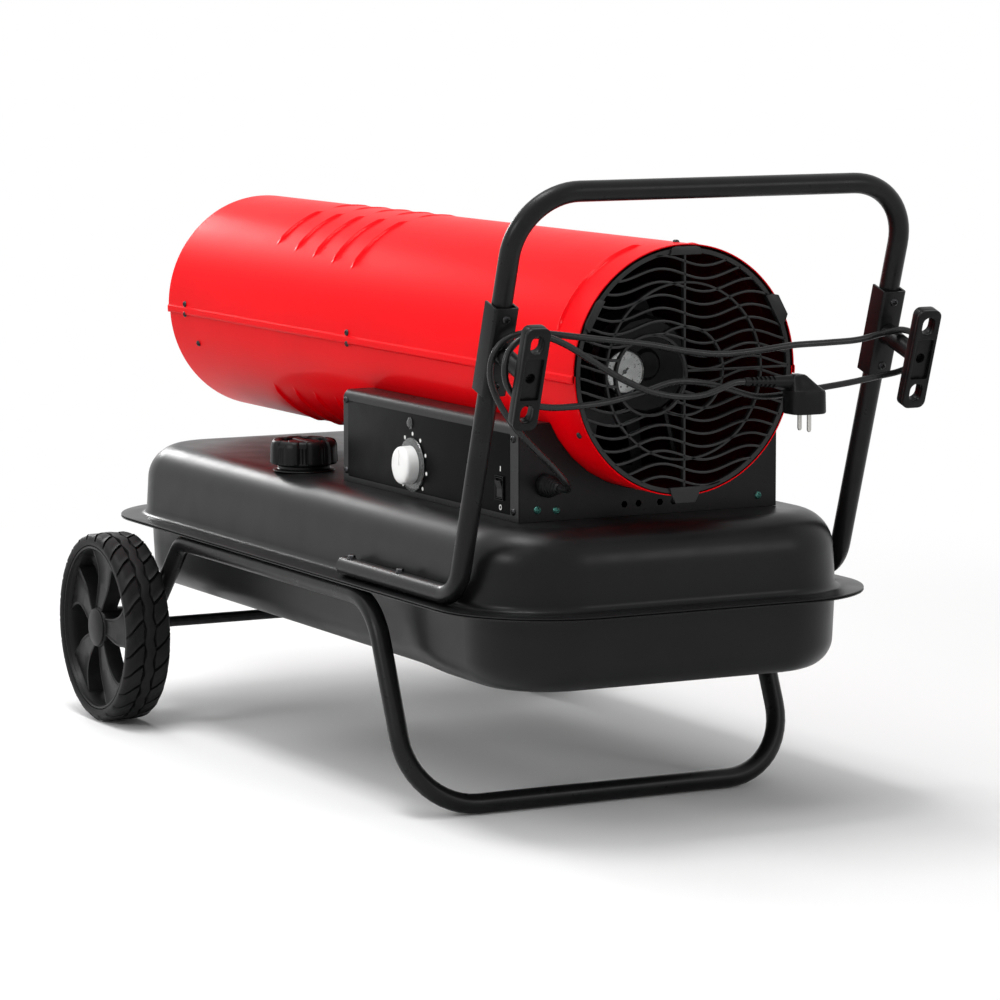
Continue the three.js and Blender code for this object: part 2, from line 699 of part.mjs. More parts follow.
function cordCleat() {
  const plate = prismX(roundedRectangle(CLEAT_WIDTH, CLEAT_HEIGHT, 9), CLEAT_BACK, CLEAT_FRONT, 2);
  const post = turnedX(rodProfile(POST_RADIUS, BRACKET_FACE + GAP, CLEAT_BACK + 1), 0, 0, 10);
  const slots = [-1, 1].map((end) => (
    prismX(roundedRectangle(16, 20, 7.5, 0, end * CLEAT_SLOT_Z), CLEAT_BACK - 5, CLEAT_FRONT + 5, 2)
  ));
  const panel = prismX(roundedRectangle(21, 45, 2), CLEAT_FRONT - 4, CLEAT_FRONT + 1, 1);
  const screw = turnedX(rodProfile(5.5, CLEAT_BACK, CLEAT_FRONT + 1), 0, 0, 6);
  return cut(joined(plate, post), ...slots, panel, screw);
}

// ------------------------------------------------------------------ base housing

function saddle() {
  const clear = 1;
  const [from, to] = [HOUSING_REAR_X - 10, HOUSING_FRONT_X + 10];
  return turnedX(rodProfile(LOWER_SHELL_RADIUS + clear, from, to), 0, BARREL_AXIS_Z, 32);
}

// A folded tray: a floor on the tank and two end plates cut round the barrel.
function baseFrame() {
  const inset = HOUSING_SHEET + GAP;
  const half = HOUSING_HALF_WIDTH - inset;
  const top = HOUSING_TOP_Z - inset;
  const chamfer = HOUSING_EDGE * 0.75;
  const end = polygon([
    [-half, HOUSING_FLOOR_Z], [half, HOUSING_FLOOR_Z], [half, top - chamfer], [half - chamfer, top],
    [chamfer - half, top], [-half, top - chamfer],
  ]);
  const front = prismX(end, HOUSING_FRONT_X - HOUSING_SHEET, HOUSING_FRONT_X);
  const rear = prismX(end, HOUSING_REAR_X, HOUSING_REAR_X + HOUSING_SHEET);
  const floor = block(
    HOUSING_REAR_X, HOUSING_FRONT_X, -half, half, HOUSING_FLOOR_Z, HOUSING_FLOOR_Z + HOUSING_SHEET,
  );
  const through = (radius, y, z, sides) => (
    turnedX(rodProfile(radius, HOUSING_FRONT_X - PAST, HOUSING_FRONT_X + PAST), y, z, sides)
  );
  const gland = through(8.6, GLAND.y, GLAND.z, 8);
  const vents = VENTS.ys.map((y) => through(VENTS.radius, y, VENTS.z, 6));
  const pickupBore = rodProfile(PICKUP.radius + HOLE_CLEARANCE, HOUSING_FLOOR_Z - 2, HOUSING_FLOOR_Z + 3);
  const pickup = turnedZ(pickupBore, PICKUP.x, PICKUP.y, 8);
  return cut(joined(front, rear, floor), saddle(), gland, ...vents, pickup);
}

// The two long sides are alike: a wall folded over at the top towards the barrel.
function housingSide(side) {
  const half = HOUSING_HALF_WIDTH;
  const fold = Math.sqrt(LOWER_SHELL_RADIUS ** 2 - (BARREL_AXIS_Z - HOUSING_TOP_Z) ** 2) + 1;
  const outline = [];
  const inside = [];
  for (let step = 0; step <= 4; step++) {
    const angle = (step / 4) * (Math.PI / 2);
    const centre = [half - HOUSING_EDGE, HOUSING_TOP_Z - HOUSING_EDGE];
    const inner = HOUSING_EDGE - HOUSING_SHEET;
    outline.push([centre[0] + HOUSING_EDGE * Math.cos(angle), centre[1] + HOUSING_EDGE * Math.sin(angle)]);
    inside.unshift([centre[0] + inner * Math.cos(angle), centre[1] + inner * Math.sin(angle)]);
  }
  const profile = [
    [half, HOUSING_FLOOR_Z], ...outline, [fold, HOUSING_TOP_Z], [fold, HOUSING_TOP_Z - HOUSING_SHEET],
    ...inside, [half - HOUSING_SHEET, HOUSING_FLOOR_Z],
  ];
  return prismX(polygon(profile.map(([y, z]) => [side * y, z])), HOUSING_REAR_X, HOUSING_FRONT_X);
}

function controlPanel() {
  const face = -HOUSING_HALF_WIDTH;
  const through = (radius, x, z) => turnedY(rodProfile(radius, face - PAST, face + PAST), x, z, 12);
  const [halfX, halfZ] = [SWITCH.holeWidth / 2, SWITCH.holeHeight / 2];
  const opening = [[-halfX, -halfZ], [halfX, -halfZ], [halfX, halfZ], [-halfX, halfZ]];
  const switchHole = prismY(
    polygon(opening.map(([x, z]) => [SWITCH.x + x, SWITCH.z + z])), face - PAST, face + PAST,
  );
  return cut(
    housingSide(NEAR), through(4, KNOB.x, KNOB.z), through(LENS.radius + GAP, LENS.x, LENS.z), switchHole,
  );
}

function thermostatBody() {
  const face = -HOUSING_HALF_WIDTH + HOUSING_SHEET + GAP;
  const [halfX, halfZ, depth] = [22, 20, 26];
  const body = block(KNOB.x - halfX, KNOB.x + halfX, face, face + depth, KNOB.z - halfZ, KNOB.z + halfZ);
  const bore = turnedY(rodProfile(3.6, face - 1, face + 12), KNOB.x, KNOB.z, 12);
  return cut(body, bore);
}

// Modelled about its own turning axis at the panel's face: a fluted grip on a flat skirt.
function thermostatKnob() {
  const back = -0.9;
  const flutes = 12;
  const fluteDepth = 1.4;
  const outline = [];
  for (let i = 0; i < flutes * 3; i++) {
    const angle = ((i + 0.5) / (flutes * 3)) * Math.PI * 2;
    const radius = i % 3 === 1 ? KNOB.radius - fluteDepth : KNOB.radius;
    outline.push([radius * Math.cos(angle), radius * Math.sin(angle)]);
  }
  const skirt = turnedY(rodProfile(KNOB.skirt, back - 2.2, back), 0, 0, 28);
  const grip = prismY(polygon(outline), back - KNOB.depth - 2, back - 1);
  const shaft = turnedY(rodProfile(3, back - 1, 11), 0, 0, 8);
  return joined(skirt, grip, shaft);
}

function switchBody() {
  const face = -HOUSING_HALF_WIDTH;
  const { x, z, width, height } = SWITCH;
  const bezel = block(x - width / 2, x + width / 2, face - 2.4, face - GAP, z - height / 2, z + height / 2);
  const body = block(x - 8.6, x + 8.6, face - 1, face + 24, z - 12.1, z + 12.1);
  const well = block(x - 7, x + 7, face - 5, face + 14, z - 10.6, z + 10.6);
  return cut(joined(bezel, body), well);
}

// Modelled about its pivot, which lies across the switch behind the panel's face.
function rocker() {
  const reach = 9;
  const points = [[-6.2, reach], [-4.9, 0], [-6.2, -reach]];
  for (let step = 1; step < 8; step++) {
    const angle = -Math.PI / 2 + (step / 8) * Math.PI;
    points.push([reach * 0.9 * Math.cos(angle), reach * Math.sin(angle)]);
  }
  return prismX(polygon(points), -6.5, 6.5);
}

function indicatorLens() {
  const face = -HOUSING_HALF_WIDTH;
  return turnedY([
    [0, face + 8], [LENS.radius, face + 8], [LENS.radius, face - GAP], [LENS.radius + 1.2, face - GAP],
    [LENS.radius + 1.2, face - 1.3], [LENS.radius - 1, face - 2.6], [0, face - 3],
  ], LENS.x, LENS.z, 12);
}

function controlBoard() {
  const floor = HOUSING_FLOOR_Z + HOUSING_SHEET + GAP;
  const board = block(-290, -170, -148, -78, floor + 8, floor + 9.6);
  const footXs = [-282, -178];
  const feet = footXs.map((x) => block(x - 4, x + 4, -144, -82, floor, floor + 9));
  const relay = block(-282, -258, -136, -118, floor + 9, floor + 26);
  const terminals = block(-250, -186, -144, -132, floor + 9, floor + 21);
  const capacitor = turnedZ(rodProfile(7, floor + 9, floor + 24), -200, -108, 8);
  return joined(board, ...feet, relay, terminals, capacitor);
}

function ignitionTransformer() {
  const floor = HOUSING_FLOOR_Z + HOUSING_SHEET + GAP;
  const body = block(-330, -262, 88, 142, floor, floor + 42);
  const ears = block(-338, -254, 98, 132, floor, floor + 2);
  const terminal = turnedZ(rodProfile(5, floor + 41, floor + 52), -296, 124, 8);
  return joined(body, ears, terminal);
}

function cableGland() {
  const plate = HOUSING_FRONT_X;
  const inside = plate - HOUSING_SHEET;
  const body = turnedX([
    [0, inside - 10], [7.5, inside - 10], [7.5, plate + GAP], [12.5, plate + GAP], [12.5, plate + 9],
    [11.5, plate + 13], [8, plate + 19], [5.4, plate + 22], [4.6, GLAND.exit], [0, GLAND.exit],
  ], GLAND.y, GLAND.z, 10);
  const locknut = turnedX(rodProfile(11, inside - 7, inside - GAP), GLAND.y, GLAND.z, 6);
  return joined(body, locknut);
}

// ------------------------------------------------------------------ barrel

// A place round the barrel: the angle is taken upwards from the horizontal on the control side.
function aroundBarrel(radius, degrees) {
  const angle = THREE.MathUtils.degToRad(degrees);
  return [-radius * Math.cos(angle), BARREL_AXIS_Z + radius * Math.sin(angle)];
}

// A rolled sheet between two angles, with stiffening beads pressed out of it. Each bead is drawn
// over the same stations as the sheet, and its two ends run out into the sheet.
function barrelShell(radius, from, to, beads) {
  const station = (i) => from + ((to - from) * i) / SHELL_STEPS;
  const nearest = (degrees) => Math.round(((degrees - from) / (to - from)) * SHELL_STEPS);
  const outer = [];
  const inner = [];
  for (let i = 0; i <= SHELL_STEPS; i++) {
    outer.push(aroundBarrel(radius, station(i)));
    inner.unshift(aroundBarrel(radius - BARREL_SHEET, station(i)));
  }
  const sheet = prismX(polygon([...outer, ...inner]), OUTLET_X, 0);
  const ridges = beads.map(({ x, start, end }) => {
    const [first, last] = [nearest(start), nearest(end)].sort((a, b) => a - b);
    const rings = [];
    for (let i = first; i <= last; i++) {
      const height = i === first || i === last ? 0.1 : BEAD_HEIGHT;
      const section = [[-BEAD_WIDTH / 2, -0.5], [BEAD_WIDTH / 2, -0.5], [0, height]];
      rings.push(section.map(([along, out]) => (
        new THREE.Vector3(x + along, ...aroundBarrel(radius + out, station(i)))
      )));
    }
    return loft(rings);
  });
  return joined(sheet, ...ridges);
}

const BEAD_ROWS_X = [-816, -757, -699, -641, -584];
const INLET_BEAD_X = -46.5;

function barrelUpperShell() {
  const lap = THREE.MathUtils.radToDeg(Math.asin(SEAM_LAP / BARREL_RADIUS));
  const beads = BEAD_ROWS_X.flatMap((x) => [{ x, start: 37, end: 73 }, { x, start: 107, end: 143 }]);
  beads.push({ x: INLET_BEAD_X, start: 20.5, end: 77.5 }, { x: INLET_BEAD_X, start: 102.5, end: 159.5 });
  return barrelShell(BARREL_RADIUS, -lap, 180 + lap, beads);
}

function barrelLowerShell() {
  const beads = BEAD_ROWS_X.flatMap((x) => [{ x, start: -42, end: -72 }, { x, start: -108, end: -138 }]);
  const radius = 8;
  const [below, above] = [BARREL_AXIS_Z - 145, BARREL_AXIS_Z - 60];
  const hole = ({ x, y }) => turnedZ(rodProfile(radius, below, above), x, y, 8);
  return cut(barrelShell(LOWER_SHELL_RADIUS, 0, -180, beads), hole(PICKUP), hole(LEAD));
}

// ------------------------------------------------------------------ inlet grille

function wavyBar(height) {
  const reach = Math.sqrt((GRILLE.radius - 1.5) ** 2 - (Math.abs(height) + GRILLE.wave) ** 2);
  const step = GRILLE.wavelength / 5;
  const count = Math.max(2, Math.ceil((2 * reach) / step));
  const upper = [];
  const lower = [];
  for (let i = 0; i <= count; i++) {
    const y = -reach + (2 * reach * i) / count;
    const z = height + GRILLE.wave * Math.cos((2 * Math.PI * (y - GRILLE.crest)) / GRILLE.wavelength);
    upper.push([y, z + GRILLE.bar / 2]);
    lower.unshift([y, z - GRILLE.bar / 2]);
  }
  return prismX(polygon([...upper, ...lower]), -GRILLE.depth, 0);
}

// A clip that hooks over the barrel's rim.
function rimClip(degrees) {
  const lip = prismX(polygon([[-20, 127], [20, 127], [11, 142], [-11, 142]]), GAP + 0.2, 3.4);
  const stem = prismX(polygon([[-20, 126.5], [20, 126.5], [20, 130.4], [-20, 130.4]]), -GRILLE.depth, 3);
  const hook = prismX(polygon([[-11, 139], [11, 139], [11, 142], [-11, 142]]), -12, 3.4);
  return joined(lip, stem, hook).rotate([degrees, 0, 0]);
}

function inletGrille() {
  const { radius, rim, depth, bar, windowY, windowZ, window, ringWall } = GRILLE;
  const pieces = [];
  for (let i = 0; i < GRILLE.bars; i++) {
    pieces.push(wavyBar((i - (GRILLE.bars - 1) / 2) * GRILLE.pitch));
  }
  for (const [inside, sides] of [[GRILLE.midRing, 24], [GRILLE.innerRing, 18]]) {
    pieces.push(turnedX(ringProfile(inside, inside + ringWall, -depth, 0), 0, 0, sides));
  }
  pieces.push(block(-depth, 0, -bar / 2, bar / 2, -radius + 2, radius - 2));
  pieces.push(block(-depth, 0, 0, radius - 2, -bar / 2, bar / 2));
  const hole = turnedX(rodProfile(window + 1, -depth - 1, 1), windowY, windowZ, 16);
  const sight = turnedX(ringProfile(window, window + 3, -depth, 0), windowY, windowZ, 16);
  const outer = turnedX(ringProfile(radius - rim, radius, -depth, 0), 0, 0, 36);
  const clips = GRILLE.clipAngles.map(rimClip);
  return joined(cut(joined(...pieces), hole), sight, outer, ...clips);
}

// ------------------------------------------------------------------ burner and outlet

function combustionChamber() {
  const wall = 1.5;
  const neck = 46; // the burner head goes in here
  const footXs = [-500, -960];
  const tube = turnedX([
    [neck, BURNER_X], [CHAMBER_RADIUS, BURNER_X], [CHAMBER_RADIUS, CHAMBER_END_X],
    [CHAMBER_RADIUS - wall, CHAMBER_END_X], [CHAMBER_RADIUS - wall, BURNER_X - wall],
    [neck, BURNER_X - wall], [neck, BURNER_X],
  ], 0, 0, 20);
  const feet = [];
  for (const x of footXs) {
    for (const degrees of [60, 180, 300]) {
      const foot = block(x - 15, x + 15, -8, 8, CHAMBER_RADIUS - 1, LINER_RADIUS - 1);
      feet.push(foot.rotate([degrees, 0, 0]));
    }
  }
  return joined(tube, ...feet);
}

function outletRing() {
  return turnedX([
    [LINER_RADIUS, OUTLET_X + 2], [LINER_RADIUS, OUTLET_X + 22], [LINER_RADIUS - 2, OUTLET_X + 22],
    [LINER_RADIUS - 2, OUTLET_X + 5], [112, OUTLET_X + 16], [110, OUTLET_X + 14.5],
    [LINER_RADIUS - 4, OUTLET_X + 2], [LINER_RADIUS, OUTLET_X + 2],
  ], 0, BARREL_AXIS_Z, 24);
}

// A shallow cone held in the mouth of the chamber on three arms.
function flameDeflector() {
  const x = CHAMBER_END_X + 40;
  const cone = turnedX([[0, x], [62, x + 16], [62, x + 18], [0, x + 3]], 0, 0, 16);
  const arms = [90, 210, 330].map((degrees) => (
    block(x + 15, x + 17, -6, 6, 55, CHAMBER_RADIUS - 3.3).rotate([degrees, 0, 0])
  ));
  return joined(cone, ...arms);
}

const NOZZLE_X = -384;
const SPARK = { y: 22, z: -10 };
const SENSOR = { y: -20, z: 22 };

function burnerHead() {
  const shroud = turnedX([
    [42, BURNER_X - 30], [44, BURNER_X - 30], [44, BURNER_X + GAP], [60, BURNER_X + GAP],
    [60, BURNER_X + 3], [44, BURNER_X + 3], [44, NOZZLE_X + 4], [8.5, NOZZLE_X + 4], [8.5, NOZZLE_X],
    [42, NOZZLE_X], [42, BURNER_X - 30],
  ], 0, 0, 16);
  const holes = [[SPARK.y, SPARK.z, 5.4], [SENSOR.y, SENSOR.z, 6.4]].map(([y, z, radius]) => (
    turnedX(rodProfile(radius, NOZZLE_X - 5, NOZZLE_X + 10), y, z, 8)
  ));
  return cut(shroud, ...holes);
}

function fuelNozzle() {
  return turnedX([
    [0, NOZZLE_X - 16], [2, NOZZLE_X - 16], [7, NOZZLE_X - 9], [8, NOZZLE_X - 4], [8, NOZZLE_X + 5],
    [10, NOZZLE_X + 5], [10, NOZZLE_X + 16], [0, NOZZLE_X + 16],
  ], 0, 0, 8);
}

function sparkPlug() {
  return turnedX([
    [0, NOZZLE_X - 26], [1.2, NOZZLE_X - 26], [1.2, NOZZLE_X - 12], [5, NOZZLE_X - 12],
    [5, NOZZLE_X + 22], [2.4, NOZZLE_X + 24], [2.4, NOZZLE_X + 32], [0, NOZZLE_X + 32],
  ], SPARK.y, SPARK.z, 8);
}

function flameSensor() {
  return turnedX([
    [0, NOZZLE_X - 4], [6, NOZZLE_X - 4], [6, NOZZLE_X + 5], [8, NOZZLE_X + 5], [8, NOZZLE_X + 14],
    [4, NOZZLE_X + 20], [0, NOZZLE_X + 20],
  ], SENSOR.y, SENSOR.z, 8);
}

// ------------------------------------------------------------------ fan, motor and air pump

// Everything here is modelled about the barrel's axis.
function fanMotor() {
  const bore = SHAFT_RADIUS + 0.5;
  const bell = 16; // length of each end bell
  return turnedX([
    [bore, MOTOR_FRONT_X], [MOTOR_RADIUS - 8, MOTOR_FRONT_X], [MOTOR_RADIUS, MOTOR_FRONT_X - 8],
    [MOTOR_RADIUS - 2, MOTOR_FRONT_X - bell], [MOTOR_RADIUS - 2, MOTOR_REAR_X + bell],
    [MOTOR_RADIUS, MOTOR_REAR_X + 8], [MOTOR_RADIUS - 14, MOTOR_REAR_X], [bore, MOTOR_REAR_X],
    [bore, MOTOR_FRONT_X],
  ], 0, 0, 16);
}

function motorBracket() {
  const foot = LINER_RADIUS - 0.4;
  const seat = MOTOR_RADIUS + GAP;
  const arc = (radius, half, steps) => {
    const points = [];
    for (let i = 0; i <= steps; i++) {
      const angle = -Math.PI / 2 - half + (2 * half * i) / steps;
      points.push([radius * Math.cos(angle), radius * Math.sin(angle)]);
    }
    return points;
  };
  const outline = polygon([...arc(foot, 0.3, 4), ...arc(seat, 0.62, 6).reverse()]);
  const opening = polygon([[-26, -118], [26, -118], [18, -72], [-18, -72]]);
  const [from, to] = MOTOR_BRACKET_X;
  return cut(prismX(outline, from, to), prismX(opening, from - PAST, to + PAST));
}

function airPumpBody() {
  const back = MOTOR_FRONT_X + GAP;
  const bore = SHAFT_RADIUS + 0.5;
  const well = 32; // the rotor runs in here
  const floor = 6;
  return turnedX([
    [bore, back], [PUMP_RADIUS - 6, back], [PUMP_RADIUS - 4, back + 4], [PUMP_RADIUS - 4, PUMP_SEAM_X],
    [well, PUMP_SEAM_X], [well, back + floor], [bore, back + floor], [bore, back],
  ], 0, 0, 12);
}

function airPumpCover() {
  const back = PUMP_SEAM_X + GAP;
  const disc = turnedX([
    [0, back], [PUMP_RADIUS, back], [PUMP_RADIUS, PUMP_FRONT_X - 4], [PUMP_RADIUS - 4, PUMP_FRONT_X],
    [18, PUMP_FRONT_X], [14, PUMP_FRONT_X + 4], [0, PUMP_FRONT_X + 4],
  ], 0, 0, 16);
  const bore = rodProfile(4.4, PUMP_FRONT_X - 6, PUMP_FRONT_X + PAST);
  return cut(disc, turnedX(bore, GAUGE.y, GAUGE.z - BARREL_AXIS_Z, 8));
}

function pumpRotor() {
  const body = turnedX(ringProfile(SHAFT_RADIUS + GAP, 27, -116.5, -97), 0, 0, 12);
  const slots = [60, 180, 300].map((degrees) => (
    block(-118, -96, -1.5, 1.5, 18, 28).rotate([degrees, 0, 0])
  ));
  return cut(body, ...slots);
}

function motorShaft() {
  return turnedX(rodProfile(SHAFT_RADIUS, FAN_X - 14, -97.5), 0, 0, 12);
}

// One twisted blade, lofted from hub to tip as thin sections whose pitch falls with radius. Its front
// and back, sides 0 and 2, are split along the same diagonals, or they would cross where it twists.
function fanBlade(turn) {
  const rings = [];
  const stations = [[20, 52, 40], [62, 66, 31], [FAN_RADIUS - 1, 78, 22]];
  for (const [radius, chord, pitch] of stations) {
    const angle = THREE.MathUtils.degToRad(90 - pitch);
    const along = new THREE.Vector3(Math.cos(angle), Math.sin(angle), 0);
    const across = new THREE.Vector3(-Math.sin(angle), Math.cos(angle), 0);
    rings.push([[-0.5, -0.8], [0.5, -0.8], [0.5, 0.8], [-0.5, 0.8]].map(([c, t]) => (
      new THREE.Vector3(FAN_X, 0, radius).addScaledVector(along, c * chord * 0.62).addScaledVector(across, t)
    )));
  }
  return loft(rings, [2]).rotate([turn, 0, 0]);
}

// The hub has two sides to a blade, so that every blade meets it alike.
function fan() {
  const hub = turnedX(rodProfile(24, FAN_X - 14, FAN_X + 14), 0, 0, 2 * FAN_BLADES);
  const bore = turnedX(rodProfile(SHAFT_RADIUS + GAP, FAN_X - 14 - PAST, FAN_X + 14 + PAST), 0, 0, 12);
  const blades = [];
  for (let i = 0; i < FAN_BLADES; i++) blades.push(fanBlade((360 * i) / FAN_BLADES));
  return cut(joined(hub, ...blades), bore);
}

function gaugeCase() {
  const { radius, face, back } = GAUGE;
  return turnedX([
    [0, PUMP_FRONT_X - 5], [4, PUMP_FRONT_X - 5], [4, back + 1], [radius - 3, back + 1], [radius, back + 4],
    [radius, face + 3], [radius - 1.8, face + 3], [radius - 1.8, face], [0, face],
  ], GAUGE.y, GAUGE.z, 16);
}

function gaugeGlass() {
  const { radius, face } = GAUGE;
  return turnedX(rodProfile(radius - 2.7, face + 1.9, face + 2.8), GAUGE.y, GAUGE.z, 16);
}

// Modelled about the needle's own axis, pointing up.
function gaugeNeedle() {
  const hub = turnedX(rodProfile(2.2, 0, 1.2), 0, 0, 10);
  const pointer = prismX(polygon([[-1, -6], [1, -6], [0.35, 17], [-0.35, 17]]), 0.1, 0.9);
  return joined(hub, pointer);
}

// ------------------------------------------------------------------ hoses and leads inside

const HOSE_BEND = 14;
const HOSE = { radius: 3.5, sides: 6, bendSteps: 2 };
const LEAD = { x: -300, y: 100 };

function fuelHose() {
  const start = HOUSING_FLOOR_Z + 14 + GAP;
  const joint = BARREL_AXIS_Z - 10 - GAP;
  const end = NOZZLE_X + 12;
  return bentTube([
    [PICKUP.x, PICKUP.y, start], [PICKUP.x, PICKUP.y, 400], [end, 0, 430], [end, 0, joint],
  ], [HOSE_BEND, HOSE_BEND], HOSE);
}

function airHose() {
  const y = 50;
  const low = 379.5;
  const joint = BARREL_AXIS_Z + 10 + GAP;
  return bentTube([
    [-108, 34, BARREL_AXIS_Z - 38], [-108, y, low + 10], [-130, y, low], [-330, y, low],
    [-352, y, 440], [NOZZLE_X + 9, 14, 525], [NOZZLE_X + 9, 0, joint + 14], [NOZZLE_X + 9, 0, joint],
  ], [8, 8, HOSE_BEND, HOSE_BEND, 8, 6], HOSE);
}

function ignitionLead() {
  const start = HOUSING_FLOOR_Z + HOUSING_SHEET + 52 + 2 * GAP;
  const plug = NOZZLE_X + 32 + GAP;
  return bentTube([
    [-296, 124, start], [-296, 124, start + 12], [LEAD.x, LEAD.y, start + 30], [LEAD.x - 4, 60, 470],
    [-318, SPARK.y, BARREL_AXIS_Z + SPARK.z], [plug, SPARK.y, BARREL_AXIS_Z + SPARK.z],
  ], [5, 10, HOSE_BEND, HOSE_BEND], { ...HOSE, radius: 2.8 });
}

// ------------------------------------------------------------------ mains cord

// The cord leaves the gland, climbs round the near post, runs to the far post and back, turns once
// more round the near post and ends in the plug that hangs before the grille.
const CORD_ROUTE = [
  [-43.7, -126.5, 370], [-36, -126.5, 370], [-24, -128, 371], [-8, -138, 379], [6, -160, 398],
  [16, -188, 421], [24, -218, 449], [30, -240, 478], [34, -249.5, 500], [39, -250, 521],
  [45, -241, 538], [50, -222, 546], [54, -195, 545], [57, -165, 541], [59, -120, 535],
  [60, -76, 529], [60, -30, 520], [60, 8, 515.5], [60, 50, 517], [60, 95, 521],
  [60, 140, 522], [59, 180, 523.5], [58, 212, 529], [57.5, 236, 531.5], [57, 252, 525],
  [56.5, 258, 509], [56, 251, 494], [55, 235, 487], [54, 208, 482.5], [50, 175, 477],
  [43, 140, 472], [40, 100, 467], [43, 62, 467], [49, 25, 477], [53, -12, 486],
  [54, -45, 488], [55, -80, 480], [57, -120, 472], [61, -165, 469], [67, -205, 471],
  [71, -235, 480], [73, -250, 495], [74, -254, 512], [73.5, -249, 530], [73, -234, 543],
  [72, -212, 545], [71, -185, 536], [70, -150, 516], [69, -115, 496], [68, -80, 481],
  [68, -45, 474], [68, -16, 474.5], [68, 6, 481], [68, 21, 485.4],
];
const PLUG = { x: 68, reliefStart: 33, reliefEnd: 94, reliefZ: 486, bodyY: 103, topZ: 497, faceZ: 449 };
const PIN_PITCH = 19;
const PIN_LENGTH = 19;

function cordCurve() {
  const points = CORD_ROUTE.map(([x, y, z]) => new THREE.Vector3(x, y, z));
  points.push(new THREE.Vector3(PLUG.x, PLUG.reliefStart - GAP, PLUG.reliefZ));
  return new THREE.CatmullRomCurve3(points, false, 'centripetal');
}

// The least clear distance between stretches of the cord that are not neighbours along it.
function leastCordGap(curve) {
  const samples = 400;
  const points = curve.getSpacedPoints(samples);
  const neighbours = Math.ceil((12 * CORD_RADIUS * samples) / curve.getLength());
  let least = Infinity;
  for (let i = 0; i < points.length; i++) {
    for (let j = i + neighbours; j < points.length; j++) {
      least = Math.min(least, points[i].distanceTo(points[j]) - 2 * CORD_RADIUS);
    }
  }
  return least;
}

function mainsCord() {
  const curve = cordCurve();
  const [length, least] = [curve.getLength().toFixed(0), leastCordGap(curve).toFixed(1)];
  console.log(`cord: ${length} mm long, ${least} mm clear of itself`);
  return solid(new THREE.ExtrudeGeometry(polygon(circlePoints(CORD_RADIUS, CORD_SIDES)), {
    extrudePath: curve,
    steps: CORD_STEPS,
  }));
}

// An angled two-pin plug: the cord enters from the side and the pins point down.
function mainsPlug() {
  const { x, reliefStart, reliefEnd, reliefZ, bodyY, topZ, faceZ } = PLUG;
  const slope = Math.atan2(3, reliefEnd - reliefStart);
  const relief = turnedY([
    [0, reliefStart], [4.6, reliefStart], [6.8, reliefEnd], [0, reliefEnd],
  ], 0, 0, 10).translate([0, -reliefStart, 0]).rotate([THREE.MathUtils.radToDeg(slope), 0, 0])
    .translate([x, reliefStart, reliefZ]);
  const body = turnedZ([
    [0, faceZ], [18.5, faceZ], [18.5, faceZ + 15], [15, faceZ + 24], [12, topZ - 5], [8, topZ], [0, topZ],
  ], x, bodyY, 14);
  const flatY = 15.5;
  const flats = [-1, 1].map((side) => {
    const [from, to] = [side * flatY, side * (flatY + 4)].sort((a, b) => a - b);
    return block(x - 20, x + 20, bodyY + from, bodyY + to, faceZ - 1, faceZ + 12);
  });
  const pin = [
    [0, faceZ - PIN_LENGTH], [1.4, faceZ - PIN_LENGTH], [2.4, faceZ - PIN_LENGTH + 2],
    [2.4, faceZ + 1], [0, faceZ + 1],
  ];
  const pins = [-1, 1].map((side) => turnedZ(pin, x + (side * PIN_PITCH) / 2, bodyY, 8));
  return joined(cut(joined(relief, body), ...flats), ...pins);
}

// ------------------------------------------------------------------ assembly

const heater = new THREE.Group();

function add(parent, name, material, body, place = [0, 0, 0]) {
  const node = part(name, material, body);
  node.position.set(...place);
  parent.add(node);
  return node;
}

function group(x, y, z) {
  const holder = new THREE.Group();
  holder.position.set(x, y, z);
  heater.add(holder);
  return holder;
}

add(heater, 'tank_upper_shell', BLACK_PAINT, tankUpperShell());
add(heater, 'tank_lower_shell', BLACK_PAINT, tankLowerShell());
add(heater, 'drain_plug', ZINC_STEEL, drainPlug());
add(heater, 'fuel_pickup', BRASS, fuelPickup());
add(heater, 'filler_neck', BLACK_PAINT, fillerNeck());
add(heater, 'fuel_strainer', ZINC_STEEL, fuelStrainer());
const capGroup = group(CAP.x, CAP.y, 0);
add(capGroup, 'cap_seal', RUBBER, capSeal());
add(capGroup, 'fuel_cap', BLACK_PLASTIC, fuelCap());

add(heater, 'wheel_frame', BLACK_PAINT, wheelFrame());
add(heater, 'axle', ZINC_STEEL, axle());
for (const [label, side] of [['near', NEAR], ['far', FAR]]) {
  const wheel = group(AXLE_X, side * WHEEL_Y, WHEEL_RADIUS);
  add(wheel, `${label}_wheel_rim`, BLACK_PLASTIC, wheelRim(side));
  add(wheel, `${label}_tyre`, RUBBER, tyre());
  add(wheel, `${label}_hub_cap`, BLACK_PLASTIC, hubCap(side));
}

add(heater, 'handle_hoop', BLACK_PAINT, handleHoop());
for (const [label, side] of [['near', NEAR], ['far', FAR]]) {
  add(heater, `${label}_handle_leg`, BLACK_PAINT, handleLeg(side));
  const joint = group(HANDLE_JOINT.x, side * HANDLE_Y, HANDLE_JOINT.y);
  joint.rotation.y = HANDLE_LEAN;
  add(joint, `${label}_handle_bracket`, BLACK_PAINT, handleBracket());
  add(joint, `${label}_cord_cleat`, BLACK_PLASTIC, cordCleat());
}

